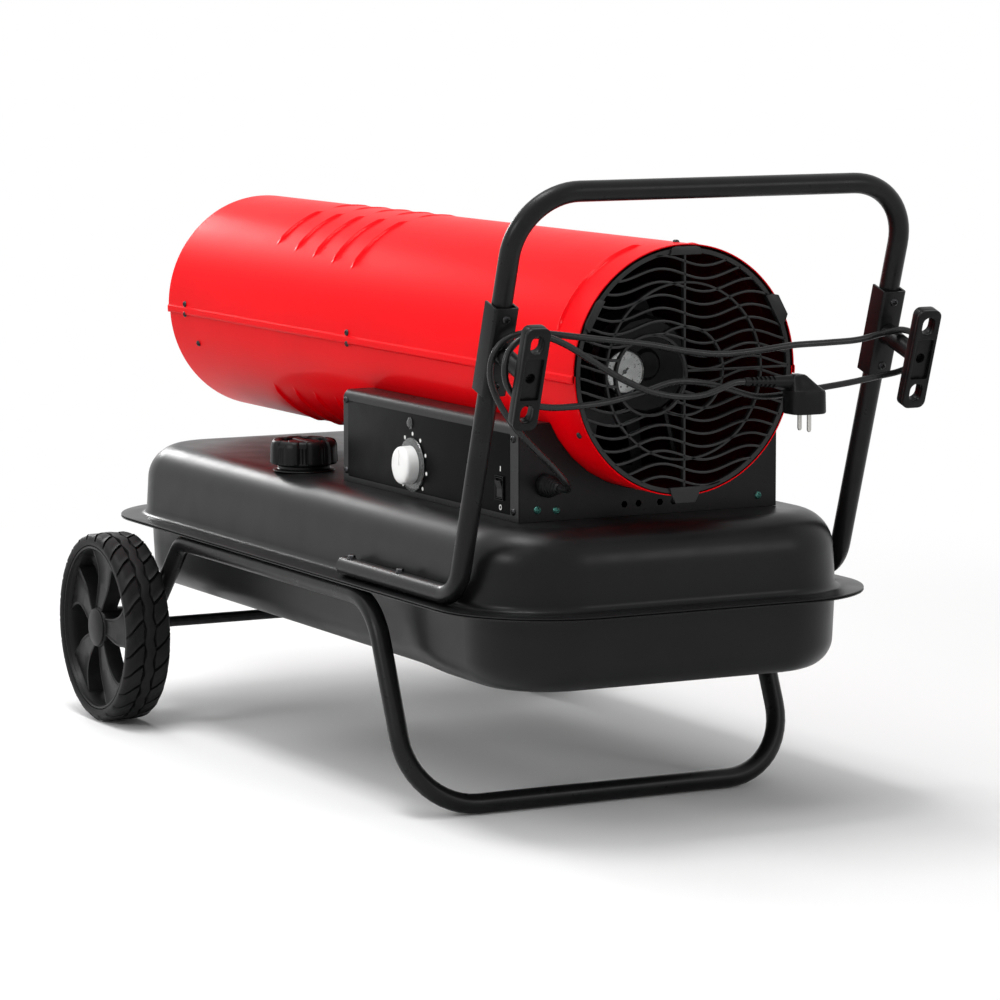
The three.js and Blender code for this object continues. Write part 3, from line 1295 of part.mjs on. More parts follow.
add(heater, 'base_frame', BLACK_PAINT, baseFrame());
add(heater, 'control_panel', BLACK_PAINT, controlPanel());
add(heater, 'side_cover', BLACK_PAINT, housingSide(FAR));
add(heater, 'thermostat_body', BLACK_PLASTIC, thermostatBody());
add(heater, 'thermostat_knob', WHITE_PLASTIC, thermostatKnob(), [KNOB.x, -HOUSING_HALF_WIDTH, KNOB.z]);
add(heater, 'switch_body', BLACK_PLASTIC, switchBody());
const rockerPivot = [SWITCH.x, -HOUSING_HALF_WIDTH + 3, SWITCH.z];
const rockerNode = add(heater, 'rocker', BLACK_PLASTIC, rocker(), rockerPivot);
rockerNode.rotation.x = ROCKER_TILT;
add(heater, 'indicator_lens', CLEAR, indicatorLens());
add(heater, 'control_board', BOARD_GREEN, controlBoard());
add(heater, 'ignition_transformer', BLACK_PLASTIC, ignitionTransformer());
add(heater, 'cable_gland', BLACK_PLASTIC, cableGland());

add(heater, 'barrel_upper_shell', RED_PAINT, barrelUpperShell());
add(heater, 'barrel_lower_shell', RED_PAINT, barrelLowerShell());
add(heater, 'outlet_ring', HOT_STEEL, outletRing());
const core = group(0, 0, BARREL_AXIS_Z);
add(core, 'inlet_grille', BLACK_PLASTIC, inletGrille());
add(core, 'combustion_chamber', HOT_STEEL, combustionChamber());
add(core, 'flame_deflector', HOT_STEEL, flameDeflector());
add(core, 'burner_head', ZINC_STEEL, burnerHead());
add(core, 'fuel_nozzle', BRASS, fuelNozzle());
add(core, 'spark_plug', CERAMIC, sparkPlug());
add(core, 'flame_sensor', BLACK_PLASTIC, flameSensor());
add(core, 'fan_motor', BLACK_PAINT, fanMotor());
add(core, 'motor_bracket', ZINC_STEEL, motorBracket());
add(core, 'air_pump_body', ALUMINIUM, airPumpBody());
add(core, 'air_pump_cover', BLACK_PAINT, airPumpCover());
add(core, 'pump_rotor', HOT_STEEL, pumpRotor());
add(core, 'motor_shaft', ZINC_STEEL, motorShaft());
add(core, 'fan', ALUMINIUM, fan());

add(heater, 'gauge_case', WHITE_PLASTIC, gaugeCase());
add(heater, 'gauge_glass', CLEAR, gaugeGlass());
const needlePivot = [GAUGE.face + GAP, GAUGE.y, GAUGE.z];
const needle = add(heater, 'gauge_needle', BLACK_PLASTIC, gaugeNeedle(), needlePivot);
needle.rotation.x = THREE.MathUtils.degToRad(NEEDLE_REST);

add(heater, 'fuel_hose', RUBBER, fuelHose());
add(heater, 'air_hose', RUBBER, airHose());
add(heater, 'ignition_lead', RUBBER, ignitionLead());
add(heater, 'mains_cord', RUBBER, mainsCord());
add(heater, 'mains_plug', BLACK_PLASTIC, mainsPlug());

// The origin is on the floor under the middle of the heater, measured without the loose cord.
const CORD_PIECES = ['mains_cord', 'mains_plug'];
heater.updateMatrixWorld(true);
const bounds = new THREE.Box3();
heater.traverse((node) => {
  if (node.isMesh && !CORD_PIECES.includes(node.name)) bounds.expandByObject(node, true);
});
heater.position.x = -(bounds.min.x + bounds.max.x) / 2;

export default heater;
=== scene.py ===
"""The looks of a portable forced air heater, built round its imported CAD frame.

Places are written in millimetres from the barrel's inlet rim: x = 0 there and negative towards the
outlet, y = 0 in the barrel's plane of symmetry with the control side at -y, z = 0 on the floor.
"""

from math import asin, atan, atan2, cos, hypot, pi, radians, sin, sqrt, tan

import bmesh
import bpy
from mathutils import Matrix, Vector


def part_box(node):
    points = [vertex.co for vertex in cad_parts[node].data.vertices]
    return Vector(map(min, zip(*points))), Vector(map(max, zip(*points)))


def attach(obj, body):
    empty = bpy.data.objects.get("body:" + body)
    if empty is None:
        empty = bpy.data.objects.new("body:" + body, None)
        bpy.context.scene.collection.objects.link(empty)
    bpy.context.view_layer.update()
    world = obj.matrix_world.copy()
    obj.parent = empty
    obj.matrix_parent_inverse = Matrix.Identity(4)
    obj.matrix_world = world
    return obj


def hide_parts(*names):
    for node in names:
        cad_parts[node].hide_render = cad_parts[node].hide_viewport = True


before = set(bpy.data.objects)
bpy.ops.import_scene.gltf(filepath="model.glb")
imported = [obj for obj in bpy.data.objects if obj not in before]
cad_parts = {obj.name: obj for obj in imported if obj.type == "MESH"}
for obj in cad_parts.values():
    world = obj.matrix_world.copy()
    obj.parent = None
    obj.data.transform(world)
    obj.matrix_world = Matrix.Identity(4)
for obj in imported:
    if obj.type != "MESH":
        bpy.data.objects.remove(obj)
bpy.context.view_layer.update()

MM = 0.001
NEAR, FAR = -1, 1
SIDES = (("near", NEAR), ("far", FAR))
FORWARD = (1, 0, 0)  # out of the inlet

INLET = Vector((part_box("barrel_upper_shell")[1].x, 0, 0))  # metres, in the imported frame

BARREL_RADIUS = 135
BARREL_LENGTH = 1073
AXIS_Z = 493
SHEET = 1.2
LOWER_RADIUS = 133.2
SEAM_LAP = 8.2
BEAD_ROWS_X = (-816, -757, -699, -641, -584)
BEAD_STARTS = (42, 39.5, 37.5, 35.5, 34)  # degrees up from the horizontal
INLET_BEAD_X = -46.5

LINER_RADIUS = 131.4
CHAMBER_RADIUS, CHAMBER_WALL = 98, 1.5
CHAMBER_START_X, CHAMBER_END_X = -418, -1040
CHAMBER_BEADS_X = (-560, -700, -840, -980)

TANK_CENTRE_X = -503
FLANGE_LENGTH = 1104
FLANGE_WIDTH = 508
FLANGE_CORNER = 130
TANK_SEAM_Z = 243.3
TANK_TOP_Z = 331
TANK_BOTTOM_Z = 157
FLANGE_TOP_Z = 245.45
FLANGE_BOTTOM_Z = 241.15

TUBE_RADIUS = 11
AXLE_X = -907
WHEEL_RADIUS = 115.6
WHEEL_Y = 283
RIM_RADIUS = 101

HANDLE_Y = 235
HANDLE_LEAN = atan(0.326)
HANDLE_JOINT = (16.6, 529)
HANDLE_TOP_Z = 691
LEG_Z = FLANGE_TOP_Z + 0.3 + TUBE_RADIUS

HOUSING_FRONT_X = -76
HOUSING_REAR_X = -507
HOUSING_HALF_Y = 159.6
HOUSING_TOP_Z = 437
HOUSING_FLOOR_Z = TANK_TOP_Z + 0.3

KNOB_X, KNOB_Z = -328, 368
LENS_X, LENS_Z = -334, 414
SWITCH_X, SWITCH_Z = -116.5, 365
GLAND_Y, GLAND_Z = -126.5, 370
CAP_X, CAP_Y = -622, -157
GAUGE_Y, GAUGE_Z = -40, 489
PLUG_X, PLUG_Y = 68, 103


# ----- shapes as (vertices, faces)

def merged(*shapes):
    vertices, faces = [], []
    for shape_vertices, shape_faces in shapes:
        start = len(vertices)
        vertices.extend(shape_vertices)
        faces.extend([i + start for i in face] for face in shape_faces)
    return vertices, faces


def moved(shape, matrix):
    vertices, faces = shape
    return [matrix @ Vector(v) for v in vertices], faces


def shifted(shape, x, y, z):
    return moved(shape, Matrix.Translation((x, y, z)))


def on_axis(shape):
    return shifted(shape, 0, 0, AXIS_Z)


def about_x(shape, degrees):
    return moved(shape, Matrix.Rotation(radians(degrees), 4, "X"))


def facing(direction, place, up=(0, 0, 1)):
    """Carries local +z onto direction and the origin to place."""
    z = Vector(direction).normalized()
    x = Vector(up).cross(z).normalized()
    return Matrix.Translation(place) @ Matrix((x, z.cross(x), z)).transposed().to_4x4()


def skin(rings, closed=False, caps=True):
    """Quads between rings of equal point counts. closed joins the last ring to the first."""
    count = len(rings[0])
    faces = []
    for r in range(len(rings) if closed else len(rings) - 1):
        a, b = r * count, (r + 1) % len(rings) * count
        for i in range(count):
            j = (i + 1) % count
            faces.append([a + i, a + j, b + j, b + i])
    if caps and not closed:
        faces.append(list(range(count))[::-1])
        faces.append([(len(rings) - 1) * count + i for i in range(count)])
    return [Vector(p) for points in rings for p in points], faces


def patch(rows):
    """Quads over an open grid of points."""
    count = len(rows[0])
    starts = range(0, (len(rows) - 1) * count, count)
    corners = [start + i for start in starts for i in range(count - 1)]
    faces = [[a, a + 1, a + 1 + count, a + count] for a in corners]
    return [Vector(p) for row in rows for p in row], faces


def circle(radius, sides, phase=0.0):
    turn = 2 * pi / sides
    return [(radius * cos(phase + i * turn), radius * sin(phase + i * turn)) for i in range(sides)]


def quarter_turn(steps):
    """The cosine and sine from 0 to 90 degrees."""
    angles = [pi / 2 * step / steps for step in range(steps + 1)]
    return [(cos(angle), sin(angle)) for angle in angles]


def turned(profile, axis, sides=64, closed=False):
    """A profile of (radius, distance) points turned about a line along axis."""
    order = {"x": (2, 0, 1), "y": (1, 2, 0), "z": (0, 1, 2)}[axis]
    rings = []
    for radius, distance in profile:
        points = [(u, v, distance) for u, v in circle(radius, sides)]
        rings.append([[point[i] for i in order] for point in points])
    return skin(rings, closed=closed, caps=False)


def hoop(profile, axis, sides):
    """A turned shape whose profile closes on itself."""
    return turned(profile, axis, sides, closed=True)


def rod(radius, low, high, axis, sides):
    return turned([(0, low), (radius, low), (radius, high), (0, high)], axis, sides)


def ring(inner, outer, low, high, axis, sides, edge=0.4):
    e = edge
    return hoop([
        (inner + e, low), (outer - e, low), (outer, low + e), (outer, high - e),
        (outer - e, high), (inner + e, high), (inner, high - e), (inner, low + e),
    ], axis, sides)


def box(x0, x1, y0, y1, z0, z1):
    return skin([[(x0, y0, z), (x1, y0, z), (x1, y1, z), (x0, y1, z)] for z in (z0, z1)])


def tube(points, radius, sides=28, rounded=True):
    """A round tube along points, with its section carried along without twist."""
    points = [Vector(p) for p in points]
    last = len(points) - 1
    normal = (points[1] - points[0]).normalized().orthogonal().normalized()
    section = circle(1.0, sides)
    rings = []
    for i, point in enumerate(points):
        tangent = (points[min(i + 1, last)] - points[max(i - 1, 0)]).normalized()
        normal = (normal - tangent * normal.dot(tangent)).normalized()
        across = tangent.cross(normal)
        stations = [(point, radius)]
        if rounded and i == 0:
            stations = [(point, radius * 0.9), (point + tangent * radius * 0.1, radius)]
        if rounded and i == last:
            stations = [(point - tangent * radius * 0.1, radius), (point, radius * 0.9)]
        for centre, scale in stations:
            rings.append([centre + (normal * u + across * v) * scale for u, v in section])
    return skin(rings)


def bent(corners, radii, steps=12):
    """Points along straight runs joined by arcs."""
    corners = [Vector(c) for c in corners]
    points = [corners[0]]
    for i, radius in enumerate(radii, start=1):
        before = (corners[i] - corners[i - 1]).normalized()
        after = (corners[i + 1] - corners[i]).normalized()
        turn = before.angle(after)
        side = (after - before * after.dot(before)).normalized()
        start = corners[i] - before * radius * tan(turn / 2)
        for step in range(steps + 1):
            angle = turn * step / steps
            points.append(start + before * radius * sin(angle) + side * radius * (1 - cos(angle)))
    points.append(corners[-1])
    return points


def corner_arcs(half_x, half_y, radius, steps, cx=0.0, cy=0.0):
    """The rounded corners of a rectangle, each as its own list of points."""
    arcs = []
    for corner, (sx, sy) in enumerate(((1, 1), (-1, 1), (-1, -1), (1, -1))):
        angles = [(corner + step / steps) * pi / 2 for step in range(steps + 1)]
        arcs.append([(
            cx + sx * (half_x - radius) + radius * cos(angle),
            cy + sy * (half_y - radius) + radius * sin(angle),
        ) for angle in angles])
    return arcs


def oblong(width, height, radius, cx=0.0, cy=0.0, steps=6):
    return sum(corner_arcs(width / 2, height / 2, radius, steps, cx, cy), [])


def adjust(item, **settings):
    for name, value in settings.items():
        setattr(item, name, value)
    return item


def linked(name, data):
    made = bpy.data.objects.new(name, data)
    bpy.context.scene.collection.objects.link(made)
    return made


def curve_shape(curve, rise=0.0):
    """The filled surface of a curve, raised by rise. The curve itself is removed."""
    holder = linked("outline", curve)
    mesh = bpy.data.meshes.new_from_object(
        holder.evaluated_get(bpy.context.evaluated_depsgraph_get())
    )
    vertices = [v.co + Vector((0, 0, rise)) for v in mesh.vertices]
    faces = [list(p.vertices) for p in mesh.polygons]
    bpy.data.objects.remove(holder)
    bpy.data.curves.remove(curve)
    bpy.data.meshes.remove(mesh)
    return vertices, faces


def plate(loops, depth, bevel=0.6):
    """A flat shape with holes in the XY plane, from z = 0 to depth, with its edges rounded."""
    curve = adjust(
        bpy.data.curves.new("plate", "CURVE"), dimensions="2D", fill_mode="BOTH",
        extrude=depth / 2 - bevel, bevel_depth=bevel, bevel_resolution=2, offset=-bevel,
    )
    for loop in loops:
        spline = curve.splines.new("POLY")
        spline.points.add(len(loop) - 1)
        for point, (u, v) in zip(spline.points, loop):
            point.co = (u, v, 0, 1)
        spline.use_cyclic_u = True
    return curve_shape(curve, depth / 2)


def text_shape(words, size, depth):
    """Lettering as a solid in the XY plane, centred on the origin."""
    curve = bpy.data.curves.new("words", "FONT")
    return curve_shape(adjust(
        curve, body=words, size=size, extrude=depth, align_x="CENTER", align_y="CENTER",
    ))


def smoothstep(low, high, value):
    t = min(max((value - low) / (high - low), 0.0), 1.0)
    return t * t * (3 - 2 * t)


# ----- materials

WHITE_LIGHT = (1, 1, 1, 1)


def feed(tree, node, inputs):
    """Links each input that is given another node's output, and sets the others."""
    for name, value in inputs.items():
        if isinstance(value, bpy.types.NodeSocket):
            tree.links.new(value, node.inputs[name])
        else:
            node.inputs[name].default_value = value


def add_node(tree, kind, inputs, output=0, **settings):
    """Adds a shader node and gives back one of its outputs."""
    node = adjust(tree.nodes.new("ShaderNode" + kind), **settings)
    feed(tree, node, inputs)
    return node.outputs[output]


def material(name, slot, colour, roughness, metallic=0.0, mottle=0.12, mottle_scale=14, grain=0.05,
             grain_scale=900, specular=0.5, spread=0.08, grain_depth=0.00008, coat=0.0):
    """Paint, plastic or metal with drifting colour and roughness and a fine surface grain."""
    made = bpy.data.materials.new(name)
    made.use_nodes = True
    tree = made.node_tree
    place = add_node(tree, "TexCoord", {}, "Object")

    def noise(scale, detail):
        return add_node(tree, "TexNoise", {"Scale": scale, "Detail": detail, "Vector": place}, "Fac")

    drift = add_node(tree, "ValToRGB", {"Fac": noise(mottle_scale, 4)}, "Color")
    for stop, position, share in zip(drift.node.color_ramp.elements, (0.3, 0.7), (1 - mottle, 1 + mottle)):
        stop.position = position
        stop.color = (*[min(c * share, 1) for c in colour], 1)
    bump = {"Strength": grain, "Distance": grain_depth, "Height": noise(grain_scale, 3)}
    feed(tree, tree.nodes["Principled BSDF"], {
        "Metallic": metallic,
        "Coat Weight": coat,
        "Coat Roughness": 0.12,
        "Specular IOR Level": specular,
        "Base Color": drift,
        "Roughness": add_node(tree, "MapRange", {
            "Value": noise(mottle_scale * 3, 6),
            "To Min": max(roughness - spread, 0.02),
            "To Max": roughness + spread,
        }, "Result"),
        "Normal": add_node(tree, "Bump", bump, "Normal"),
    })
    return made


def black(name, slot, level, roughness, mottle_scale, grain, grain_scale, specular, mottle=0.2, **more):
    """A black that is a hair cooler than neutral."""
    colour = (level, level, level + 0.0005)
    return material(name, slot, colour, roughness, 0.0, mottle, mottle_scale, grain, grain_scale, specular,
                    **more)


def clear(name, colour, roughness):
    """See-through plastic with faint scuffs in its roughness."""
    made = material(name, "clear_plastic", colour, roughness, mottle=0.02, mottle_scale=40, spread=0.03)
    tree = made.node_tree
    feed(tree, tree.nodes["Principled BSDF"], {"Transmission Weight": 0.92, "IOR": 1.49})
    return made


RED = material("red_gloss_paint", "gloss_red_paint", (0.8, 0.0, 0.004), 0.36, 0.0, 0.04, 5, 0.15, 260, 0.015,
               spread=0.05, grain_depth=0.00005, coat=0.08)
# The barrel's inside: its red paint darkened nearly to black, as painted shade for the shadowed inside of the
# barrel.
INNER_PAINTED_SHADE = material("inner_red_painted_shade", None, (0.04, 0.001, 0.002), 0.6, 0.0, 0.3, 20, 0.3, 300, 0.04)
# name, slot, level, roughness, mottle scale, grain, grain scale, specular
BLACK = black("black_powder_coat", "black_powder_coat", 0.008, 0.3, 30, 0.4, 1400, 0.15)
TANK = black("black_tank_paint", "black_powder_coat", 0.007, 0.33, 9, 0.3, 1100, 0.15)
PLASTIC = black("black_plastic", "black_plastic", 0.006, 0.34, 40, 0.5, 1700, 0.12)
# The grille's black is lighter than the other black plastics: partly its own tone, partly painted sheen for
# the light on the bars.
GRILLE_BLACK_AND_SHEEN = black("grille_plastic_and_sheen", "black_plastic", 0.016, 0.34, 40, 0.35, 1500, 0.22)
RIM = black("wheel_plastic", "black_plastic", 0.009, 0.36, 25, 0.45, 1200, 0.14)
TYRE = black("tyre_rubber", "tyre_rubber", 0.009, 0.5, 30, 0.7, 700, 0.12, 0.3, grain_depth=0.0002)
RUBBER = black("cable_rubber", "black_rubber", 0.009, 0.28, 40, 0.4, 900, 0.26, 0.25)
# name, slot, colour, roughness, metallic, mottle, mottle scale, grain, grain scale, specular
PANEL = material("panel_fascia", "black_powder_coat", (0.002, 0.002, 0.0022), 0.34, 0.0, 0.2, 14, 0.25,
                 1800, 0.03)
WHITE = material("white_plastic", "white_plastic", (0.86, 0.86, 0.85), 0.34, 0.0, 0.03, 14, 0.2, 1300)
DIAL = material("dial_face", "white_plastic", (0.88, 0.88, 0.87), 0.5, 0.0, 0.05, 60, 0.2)
INK = material("dial_ink", "black_plastic", (0.02, 0.02, 0.02), 0.6)
PRINT = material("white_print", "white_plastic", (0.78, 0.78, 0.76), 0.5, 0.0, 0.05, 80)
CHROME = material("plated_pins", "zinc_steel", (0.46, 0.45, 0.43), 0.3, 1.0, 0.1, grain=0.1)
ZINC = material("zinc_plate", "zinc_steel", (0.5, 0.51, 0.53), 0.34, 1.0, 0.15, 60, 0.3)
DARK_SCREW = material("blackened_screws", "zinc_steel", (0.03, 0.03, 0.032), 0.34, 0.8, 0.3, 90)
GREEN_SCREW = material("passivated_screws", "zinc_steel", (0.06, 0.2, 0.17), 0.35, 0.8, 0.3, 90)
HOT_STEEL = material("heat_dulled_steel", "heat_steel", (0.2, 0.18, 0.165), 0.45, 1.0, 0.35, 16, 0.4, 300)
ALUMINIUM = material("cast_aluminium", None, (0.55, 0.56, 0.58), 0.45, 1.0, 0.1, 40, 0.8, 600,
                     grain_depth=0.0002)
FAN_METAL = material("darkened_aluminium", None, (0.1, 0.1, 0.105), 0.5, 1.0, 0.2, 40, 0.4)
BRASS = material("turned_brass", None, (0.6, 0.43, 0.18), 0.3, 1.0, 0.1, 50)
BOARD = material("circuit_board", None, (0.03, 0.14, 0.06), 0.4, 0.0, 0.3, 220)
CERAMIC = material("glazed_ceramic", None, (0.8, 0.77, 0.7), 0.2, 0.0, 0.04, coat=0.5)
CLEAR = clear("clear_plastic", (0.94, 0.95, 0.95), 0.05)
SMOKE = clear("smoked_skirt", (0.42, 0.43, 0.43), 0.12)


def piece(name, shape, finish, replaced=None, body="heater", inner=None, crease=32, weld=0.002):
    """Makes one object from a shape in millimetres, shaded smooth between its sharp edges."""
    vertices, faces = shape
    mesh = bpy.data.meshes.new(name)
    mesh.from_pydata([tuple(v) for v in vertices], [], faces)
    work = bmesh.new()
    work.from_mesh(mesh)
    bmesh.ops.remove_doubles(work, verts=work.verts, dist=weld)
    bmesh.ops.dissolve_degenerate(work, edges=work.edges, dist=1e-4)
    bmesh.ops.recalc_face_normals(work, faces=work.faces)
    for vertex in work.verts:
        vertex.co = vertex.co * MM + INLET
    work.to_mesh(mesh)
    work.free()
    mesh.shade_smooth()
    mesh.set_sharp_from_angle(angle=radians(crease))
    mesh.materials.append(finish)
    if inner:
        mesh.materials.append(inner)
    made = linked(name, mesh)
    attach(made, body)
    if replaced:
        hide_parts(replaced)
    return made


# ----- camera and mains cord

CAMERA_PLACE = (4.3988, -2.2618, 0.9268)
YAW, PITCH, ROLL = 152.5, -7.2, -0.1
LENS, SENSOR = 154.2, 36


def make_camera():
    lens = adjust(bpy.data.cameras.new("camera"), lens=LENS, sensor_width=SENSOR, clip_end=60)
    camera = linked("camera", lens)
    place = Matrix.Translation(CAMERA_PLACE)
    for degrees, axis in ((YAW - 90, "Z"), (PITCH + 90, "X"), (ROLL, "Z")):
        place = place @ Matrix.Rotation(radians(degrees), 4, axis)
    camera.matrix_world = place
    bpy.context.scene.camera = camera


CORD_RADIUS = 3.5
CORD_ROUTE = [
    (-43.7, -126.5, 370), (-36, -126.5, 370), (-24, -128, 371), (-8, -138, 379), (6, -160, 398),
    (16, -188, 421), (24, -218, 449), (30, -240, 478), (34, -249.5, 500), (39, -250, 521),
    (45, -241, 538), (50, -222, 546), (54, -195, 545), (57, -165, 541), (59, -120, 535),
    (60, -76, 529), (60, -30, 520), (60, 8, 515.5), (60, 50, 517), (60, 95, 521),
    (60, 140, 522), (59, 180, 523.5), (58, 212, 529), (57.5, 236, 531.5), (57, 252, 525),
    (56.5, 258, 509), (56, 251, 494), (55, 235, 487), (54, 208, 482.5), (50, 175, 477),
    (43, 140, 472), (40, 100, 467), (43, 62, 467), (49, 25, 477), (53, -12, 486),
    (54, -45, 488), (55, -80, 480), (57, -120, 472), (61, -165, 469), (67, -205, 471),
    (71, -235, 480), (73, -250, 495), (74, -254, 512), (73.5, -249, 530), (73, -234, 543),
    (72, -212, 545), (71, -185, 536), (70, -150, 516), (69, -115, 496), (68, -80, 481),
    (68, -45, 474), (68, -16, 474.5), (68, 6, 481), (68, 21, 485.4), (68, 32.7, 486),
]
CORD_STEPS = 10  # points between two neighbours of the route


def smooth_route(route, steps):
    """A centripetal Catmull-Rom curve through the route's points."""
    points = [Vector(p) for p in route]
    points = [points[0] * 2 - points[1], *points, points[-1] * 2 - points[-2]]
    line = []
    for i in range(1, len(points) - 2):
        p0, p1, p2, p3 = points[i - 1:i + 3]
        d0, d1, d2 = ((b - a).length ** 0.5 for a, b in ((p0, p1), (p1, p2), (p2, p3)))
        m1 = ((p1 - p0) / d0 - (p2 - p0) / (d0 + d1) + (p2 - p1) / d1) * d1
        m2 = ((p2 - p1) / d1 - (p3 - p1) / (d1 + d2) + (p3 - p2) / d2) * d1
        for step in range(steps):
            t = step / steps
            line.append(
                p1 + m1 * t + (p2 * 3 - p1 * 3 - m1 * 2 - m2) * t ** 2 + (p1 * 2 - p2 * 2 + m1 + m2) * t ** 3
            )
    line.append(points[-2])
    return line


def make_cord():
    line = smooth_route(CORD_ROUTE, CORD_STEPS)
    sheath = tube(line, CORD_RADIUS, sides=14, rounded=False)
    cord = piece("cord_sheath", sheath, RUBBER, "mains_cord", weld=0.001)
    plug = make_plug()


def strain_relief(length):
    """A taper along y with rows of slots in its upper and lower faces."""
    slots, pitch, first, sides = 6, 5.2, 6.5, 36
    end = first + slots * pitch
    stations = [0.0, 0.6, 2.4]
    for slot in range(slots):
        start = first + slot * pitch
        stations += [start - 0.4, start, start + 1.0, start + 2.2, start + 2.6]
    stations += [end + 2, length - 14, length]
    rings = []
    for y in stations:
        radius = 4.6 + 1.6 * smoothstep(0, end, y) + 2.6 * smoothstep(length - 22, length, y)
        cut_in = 1.7 if first <= y < end and (y - first) % pitch < 2.3 else 0.0
        points = []
        for u, v in circle(1.0, sides, pi / sides):
            r = radius * (0.86 if y == 0 else 1.0) - cut_in * smoothstep(0.3, 0.62, abs(v))
            points.append((u * r, y, v * r))
        rings.append(points)
    return skin(rings)


def make_plug():
    """An angled two-pin plug: a slotted strain relief into a moulded body, with its pins down."""
    relief_start, relief_end, relief_z, relief_rise = 33, 98, 486, -3
    slope = atan2(relief_rise, relief_end - relief_start)
    turn = Matrix.Translation((PLUG_X, relief_start, relief_z)) @ Matrix.Rotation(slope, 4, "X")
    relief = moved(strain_relief(relief_end - relief_start), turn)
    levels = [  # z, low y, high y, half width in x
        (449, 87.4, 126.6, 17.6), (449.9, 86.4, 127.6, 18.3), (451, 86, 128, 18.5), (471, 86, 127.4, 18.4),
        (473.6, 86.2, 126.6, 18.0), (474.6, 87.2, 125.2, 16.6), (476.4, 87.4, 122.4, 15.4),
        (481, 87.8, 116.6, 13.4), (486, 88.4, 110.8, 11.4), (489.4, 89.4, 106.6, 9.8),
        (490.8, 91, 104.4, 8.2), (491.2, 93, 102.4, 6.4),
    ]
    rings = []
    for z, low_y, high_y, half_x in levels:
        half_y = (high_y - low_y) / 2
        outline = oblong(2 * half_x, 2 * half_y, min(half_x, half_y) * 0.66, steps=5)
        rings.append([(PLUG_X + u, (low_y + high_y) / 2 + v, z) for u, v in outline])
    body = piece("plug_body", merged(relief, skin(rings)), PLASTIC, "mains_plug", crease=24)
    face_z, pin_pitch, pin_length, pin_radius = 449, 19, 19, 2.4
    tip_z = face_z - pin_length
    pin = turned([
        (0, tip_z), (1.2, tip_z), (2.0, tip_z + 1), (pin_radius, tip_z + 2.6), (pin_radius, face_z + 1),
        (0, face_z + 1),
    ], "z", 24)
    pins = [shifted(pin, PLUG_X + side * pin_pitch / 2, PLUG_Y + 4, 0) for side in (-1, 1)]
    return [body, piece("plug_pins", merged(*pins), CHROME)]


# ----- screws

def pan_screw(radius, height, direction, place, up=(0, 0, 1)):
    """A cross-recessed pan head that stands on place and faces direction."""
    sides, steps = 24, 8
    rows = []
    for t in (step / steps for step in range(steps + 1)):
        top = height * sqrt(1 - t ** 3)
        row = []
        for u, v in circle(radius * t, sides):
            in_cross = min(abs(u), abs(v)) < radius * 0.14 and t < 0.62
            row.append((u, v, top * (0.35 if in_cross else 1.0)))
        rows.append(row)
    return moved(skin(rows, caps=False), facing(direction, place, up))


def hex_bolt(radius, height):
    washer = [(0, -1.6), (radius, -1.6), (radius, 0.8), (radius * 0.9, 1.1), (0, 1.1)]
    corner, crown = radius * 0.82, radius * 0.64
    head = [(0, 0.8), (corner, 0.8), (corner, height - 0.9), (crown, height), (0, height)]
    return merged(turned(washer, "z", 28), turned(head, "z", 6))


def around_barrel(radius, degrees):
    """(y, z) round the barrel, with the angle upwards from the horizontal on the control side."""
    angle = radians(degrees)
    return -radius * cos(angle), AXIS_Z + radius * sin(angle)


def make_screws():
    places = [(-1020, 2), (-1020, -3.4), (-548, 2), (-548, -3.4), (-999, -19), (-145, -20), (-18.6, -28.8)]
    places += [(x, 180 - degrees) for x, degrees in places]
    places.append((-28, 92))
    heads = []
    for x, degrees in places:
        radius = BARREL_RADIUS if -4 < degrees < 184 else LOWER_RADIUS
        y, z = around_barrel(radius + 0.4, degrees)
        heads.append(pan_screw(3.8, 2.4, (0, y, z - AXIS_Z), (x, y, z), up=FORWARD))
    piece("barrel_screws", merged(*heads), DARK_SCREW)

    piece("housing_screws", merged(*[
        pan_screw(4, 2.4, (0, side, 0), (x, side * HOUSING_HALF_Y, z))
        for x, z in ((-87.5, 420), (-87.6, 342), (-500, 425), (-500, 344)) for _, side in SIDES
    ]), DARK_SCREW)
    piece("earth_screws", merged(*[
        pan_screw(4.4, 2.2, FORWARD, (HOUSING_FRONT_X, y, z))
        for y, z in ((-136.6, 344), (-113.6, 342.6), (136.6, 344))
    ]), GREEN_SCREW)

    bolts = []
    for _, side in SIDES:
        for x in (-330, -208):
            bolts.append(shifted(hex_bolt(5.4, 4.2), x, side * HANDLE_Y, LEG_Z + TUBE_RADIUS - 0.6))
            under = facing((0, 0, -1), (x, side * HANDLE_Y, FLANGE_BOTTOM_Z), up=FORWARD)
            bolts.append(moved(hex_bolt(5.4, 5), under))
    piece("leg_bolts", merged(*bolts), DARK_SCREW)


# ----- barrel

BEAD_WIDTH, BEAD_HEIGHT, TOP_BEAD_HEIGHT = 8, 2.6, 1.1


def bead_rise(beads, x, degrees):
    """How far the stiffening beads stand out at one place."""
    rise = 0.0
    for bead_x, start, end, height in beads:
        along = abs(x - bead_x) / (BEAD_WIDTH / 2)
        if along < 1:
            ends = smoothstep(start, start + 5, degrees) * (1 - smoothstep(end - 5, end, degrees))
            rise = max(rise, height * cos(along * pi / 2) ** 1.5 * ends)
    return rise


